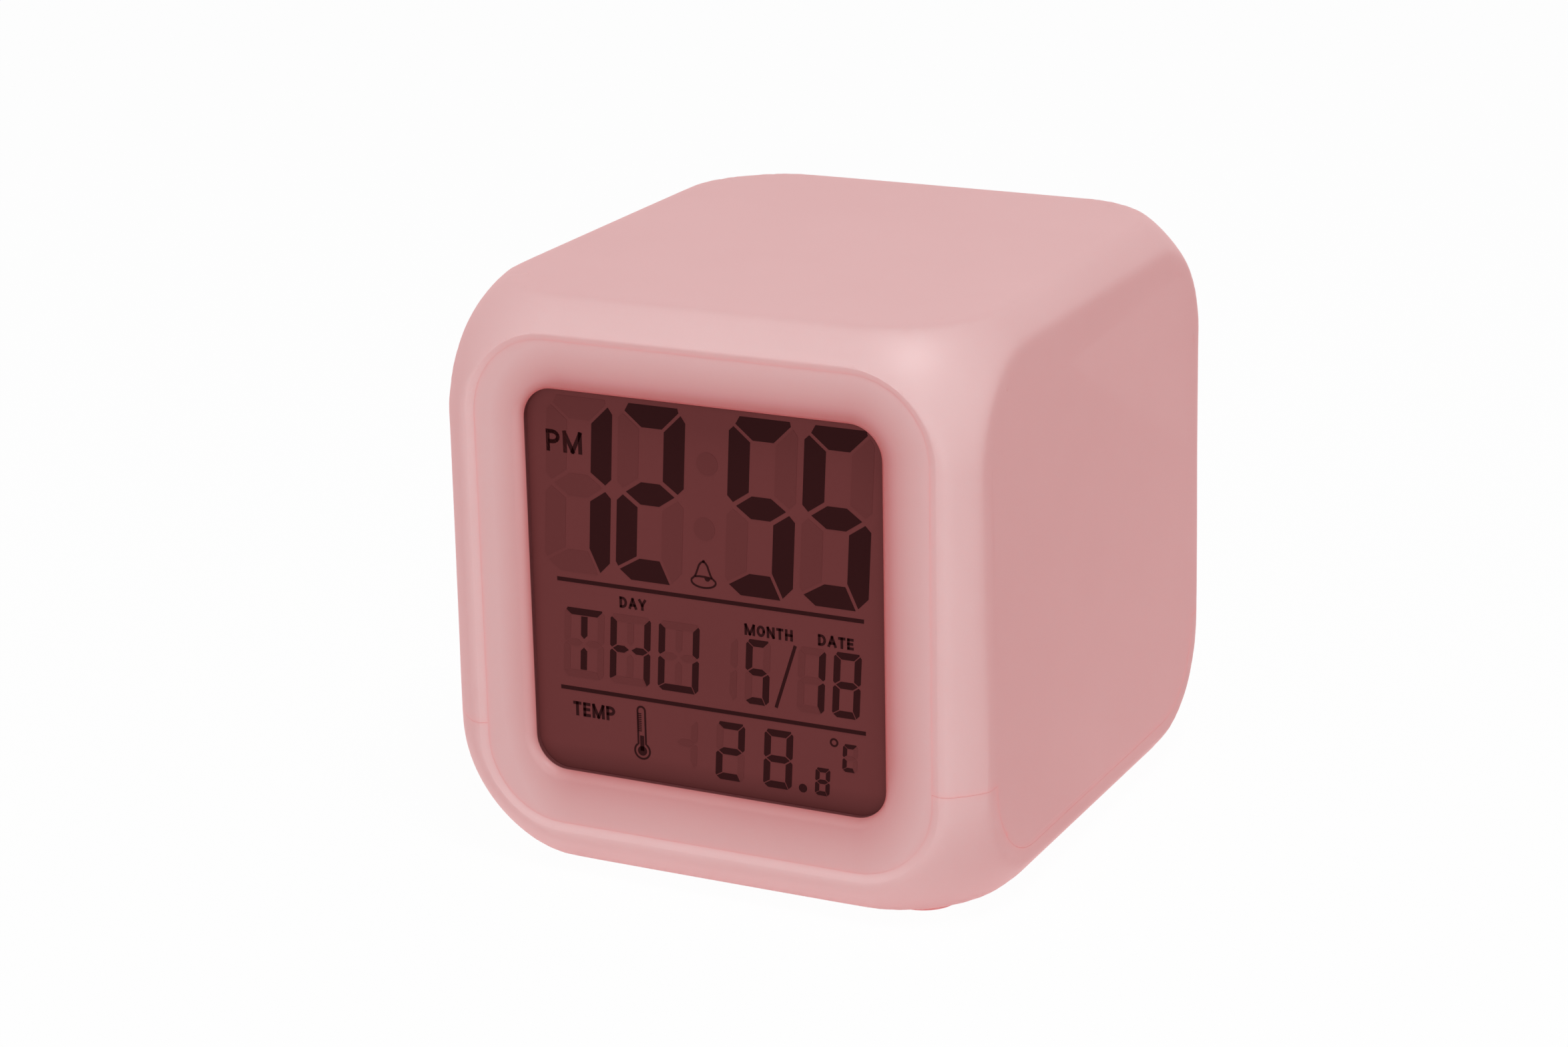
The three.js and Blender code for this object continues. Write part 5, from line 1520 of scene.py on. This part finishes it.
def plated_metal(name, colour, roughness, grain):
    """Plated metal: a fine unevenness in its gloss, and a faint relief."""
    material, tree = blank_material(name)
    place = add_node(tree, "ShaderNodeTexCoord").outputs["Object"]
    fine = {"Vector": place, "Scale": per_metre(grain), "Detail": 4.0}
    noise = add_node(tree, "ShaderNodeTexNoise", fine)
    span = {0: noise.outputs[0], 3: roughness - 0.06, 4: roughness + 0.1}
    gloss = add_node(tree, "ShaderNodeMapRange", span)
    relief = {"Height": noise.outputs[0], "Strength": 0.08, "Distance": 0.05 * MM}
    bump = add_node(tree, "ShaderNodeBump", relief)
    sockets = {
        "Base Color": linear(colour),
        "Metallic": 1.0,
        "Roughness": gloss.outputs[0],
        "Normal": bump.outputs[0],
    }
    shader = add_node(tree, "ShaderNodeBsdfPrincipled", sockets)
    add_node(tree, "ShaderNodeOutputMaterial", {"Surface": shader.outputs[0]})
    return material


# Grey and a little dull for screws, warmer and brighter for contacts.
steel_finish = plated_metal("zinc_plated_steel", STEEL_COLOUR, 0.32, 0.6)
nickel_finish = plated_metal("nickel_plate", "#c9c4b8", 0.26, 0.9)
print("made", steel_finish.name, "and", nickel_finish.name)

# %% [markdown]
# The housing screws are spun like the feet. Their cross recess is two thin blocks cut out of the
# head.

# %% Housing screws
SCREW_HEAD = 1.8
SCREW_PROFILE = (
    (0, -SCREW_HEAD),
    (1.9, -SCREW_HEAD),
    (2.25, -1.6),
    (2.4, -1.2),
    (2.4, 0),
    (1.2, 0),
    (1.2, 14.6),
    (0.7, 15),
    (0, 15),
)
SCREW_STEPS = 32
SCREW_Z = 4.7
CROSS = (2.9, 0.6, 0.1)
CROSS_DEPTH = 1.1

for index, (x, y) in enumerate(CORNERS):
    screw = spun(SCREW_PROFILE, SCREW_STEPS)
    length, thickness, corner = CROSS
    low = -SCREW_HEAD - PAST
    high = -SCREW_HEAD + CROSS_DEPTH
    outlines = (centred(length, thickness, corner), centred(thickness, length, corner))
    blades = [loft([(outline, low), (outline, high)], "Z")[0] for outline in outlines]
    screw = moved(carved(screw, blades), "Z", x * POST_X, y * POST_Y, SCREW_Z)
    name = f"housing_screw_{index + 1}"
    finish_piece(screw, f"cross_head_screw_{index + 1}", "clock", steel_finish, "steel", name)

# %% [markdown]
# ## Inside
# Most of the inside is only seen with the battery door open. The cells get rounded shoulders, and
# bare steel ends beyond their jacket. The other solids are right as they are, so they keep their
# CAD shape and get finishes.

# %% Cell finish
JACKET_HALF = 20.4  # mm, steel shows past the jacket
JACKET_COLOURS = ("#3c4652", "#353d47")
JACKET_SCUFFS = 4.0  # mm

# A dark glossy jacket with faint scuffs, and bright steel at the ends.
cell_finish, tree = blank_material("cell_jacket_and_steel")
place = add_node(tree, "ShaderNodeTexCoord").outputs["Object"]
along = add_node(tree, "ShaderNodeSeparateXYZ", {0: place}).outputs["X"]
length = add_node(tree, "ShaderNodeMath", {0: along}, operation="ABSOLUTE")
limit = {0: length.outputs[0], 1: JACKET_HALF * MM}
bare = add_node(tree, "ShaderNodeMath", limit, operation="GREATER_THAN")
scuffed = {"Vector": place, "Scale": per_metre(JACKET_SCUFFS), "Detail": 4.0}
scuffs = add_node(tree, "ShaderNodeTexNoise", scuffed)
ends = [linear(colour) for colour in JACKET_COLOURS]
pair = {FACTOR: scuffs.outputs[0], FIRST: ends[0], SECOND: ends[1]}
jacket = add_node(tree, "ShaderNodeMix", pair, data_type="RGBA").outputs[MIXED]
pair = {FACTOR: bare.outputs[0], FIRST: jacket, SECOND: linear(STEEL_COLOUR)}
both = add_node(tree, "ShaderNodeMix", pair, data_type="RGBA").outputs[MIXED]
gloss = add_node(tree, "ShaderNodeMapRange", {0: scuffs.outputs[0], 3: 0.28, 4: 0.45})
sockets = {"Base Color": both, "Metallic": bare.outputs[0], "Roughness": gloss.outputs[0]}
shader = add_node(tree, "ShaderNodeBsdfPrincipled", sockets)
add_node(tree, "ShaderNodeOutputMaterial", {"Surface": shader.outputs[0]})
print("made", cell_finish.name)

# %% Battery cells
CELL_Z = (18.1182, 28.9682, 39.8182, 50.6682)
CELL_Y = 34.9
CELL_STEPS = 48
CELL_PROFILE = (
    (0, -22.25),
    (4.3, -22.25),
    (4.9, -22.05),
    (5.25, -21.5),
    (5.25, 20.3),
    (4.95, 20.8),
    (4.3, 21.05),
    (2.1, 21.05),
    (1.9, 21.25),
    (1.9, 22.1),
    (1.7, 22.25),
    (0, 22.25),
)

for index, z in enumerate(CELL_Z):
    cell = moved(spun(CELL_PROFILE, CELL_STEPS), "X", 0, 0, 0)
    if index % 2:
        bmesh.ops.rotate(cell, matrix=Matrix.Rotation(math.pi, 3, "Z"), verts=cell.verts)
    bmesh.ops.translate(cell, vec=(0, CELL_Y, z), verts=cell.verts)
    name = f"battery_cell_{index + 1}"
    finish_piece(cell, f"dry_cell_{index + 1}", "clock", cell_finish, "cell_jacket", name)

# %% [markdown]
# The boards are copper tracks under green lacquer. They hardly show, so real tracks would be wasted.
# A brick pattern with narrow pale joints gives the eye a printed board.

# %% Circuit boards
TRACK_PITCH = 1.6  # mm, between the copper tracks under the green lacquer
BRICK_ROW = 0.25  # height of a row in the brick texture

board_finish, tree = blank_material("lacquered_circuit_board")
place = add_node(tree, "ShaderNodeTexCoord").outputs["Object"]
tracks = add_node(
    tree,
    "ShaderNodeTexBrick",
    {
        "Vector": place,
        "Color1": linear("#2f5a3c"),
        "Color2": linear("#2b5238"),
        "Mortar": linear("#3f7350"),
        "Scale": per_metre(TRACK_PITCH / BRICK_ROW),
        "Mortar Size": 0.03,
    },
)
relief = {"Height": tracks.outputs["Fac"], "Strength": 0.2, "Distance": 0.1 * MM}
bump = add_node(tree, "ShaderNodeBump", relief)
sockets = {"Base Color": tracks.outputs["Color"], "Roughness": 0.35, "Normal": bump.outputs[0]}
shader = add_node(tree, "ShaderNodeBsdfPrincipled", sockets)
add_node(tree, "ShaderNodeOutputMaterial", {"Surface": shader.outputs[0]})
print("made", board_finish.name)

# %% [markdown]
# The small parts inside keep their CAD solids, because nothing about their shape would show. Each
# kind gets the finish of its real material: milky light guides, matt rubber, glossy epoxy, soft cable
# jackets and plated metal.

# %% Finishes for the solids that stay
rubber_finish = satin_dark("silicone_rubber", ("#4d4747", "#443e3e"), 0.85, 0.4)
milky_finish = satin_plastic("milky_polystyrene", ("#cecccc", "#c9c7c7"), GLOW_STRENGTH / 2)
epoxy_finish = satin_dark("black_epoxy", ("#1e1d1e", "#191819"), 0.3, 1.5)
red_finish = satin_dark("red_pvc", ("#ab3535", "#a12e2e"), 0.55, 0.8)
black_finish = satin_dark("black_pvc", ("#282626", "#211f1f"), 0.55, 0.8)
ribbon_finish = satin_dark("grey_pvc", ("#bdbab4", "#b3b0aa"), 0.55, 1.0)
STAYING = (
    # finish, how the names of the CAD nodes begin
    (milky_finish, ("display_spacer", "backlight_diffuser", "colour_light")),
    (rubber_finish, ("connector_strip",)),
    (steel_finish, ("board_screw", "key_board_screw", "press_board_screw", "light_switch_body")),
    (nickel_finish, ("crystal", "battery_contact")),
    (epoxy_finish, ("chip_cover", "temperature_sensor")),
    (abs_finish, ("buzzer", "key_switch", "press_switch")),
    (red_finish, ("battery_lead_red",)),
    (black_finish, ("battery_lead_black", "press_lead")),
    (ribbon_finish, ("key_ribbon",)),
)
BOARDS = ("main_board", "key_board", "press_board")
for material, starts in STAYING:
    names = [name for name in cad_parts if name.startswith(starts) and name not in BOARDS]
    for name in names:
        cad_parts[name].data.materials.clear()
        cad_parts[name].data.materials.append(material)
    print(material.name, "on", len(names), "solids")
for name in BOARDS:
    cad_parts[name].data.materials.clear()
    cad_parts[name].data.materials.append(board_finish)

# %% [markdown]
# ## Size
# The dressed clock has to keep the CAD model's size, so both boxes are written down for comparison.

# %% Write the sizes and finish
low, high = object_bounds()
print("visual box, mm:", [round(1000 * (b - a), 2) for a, b in zip(low, high)])
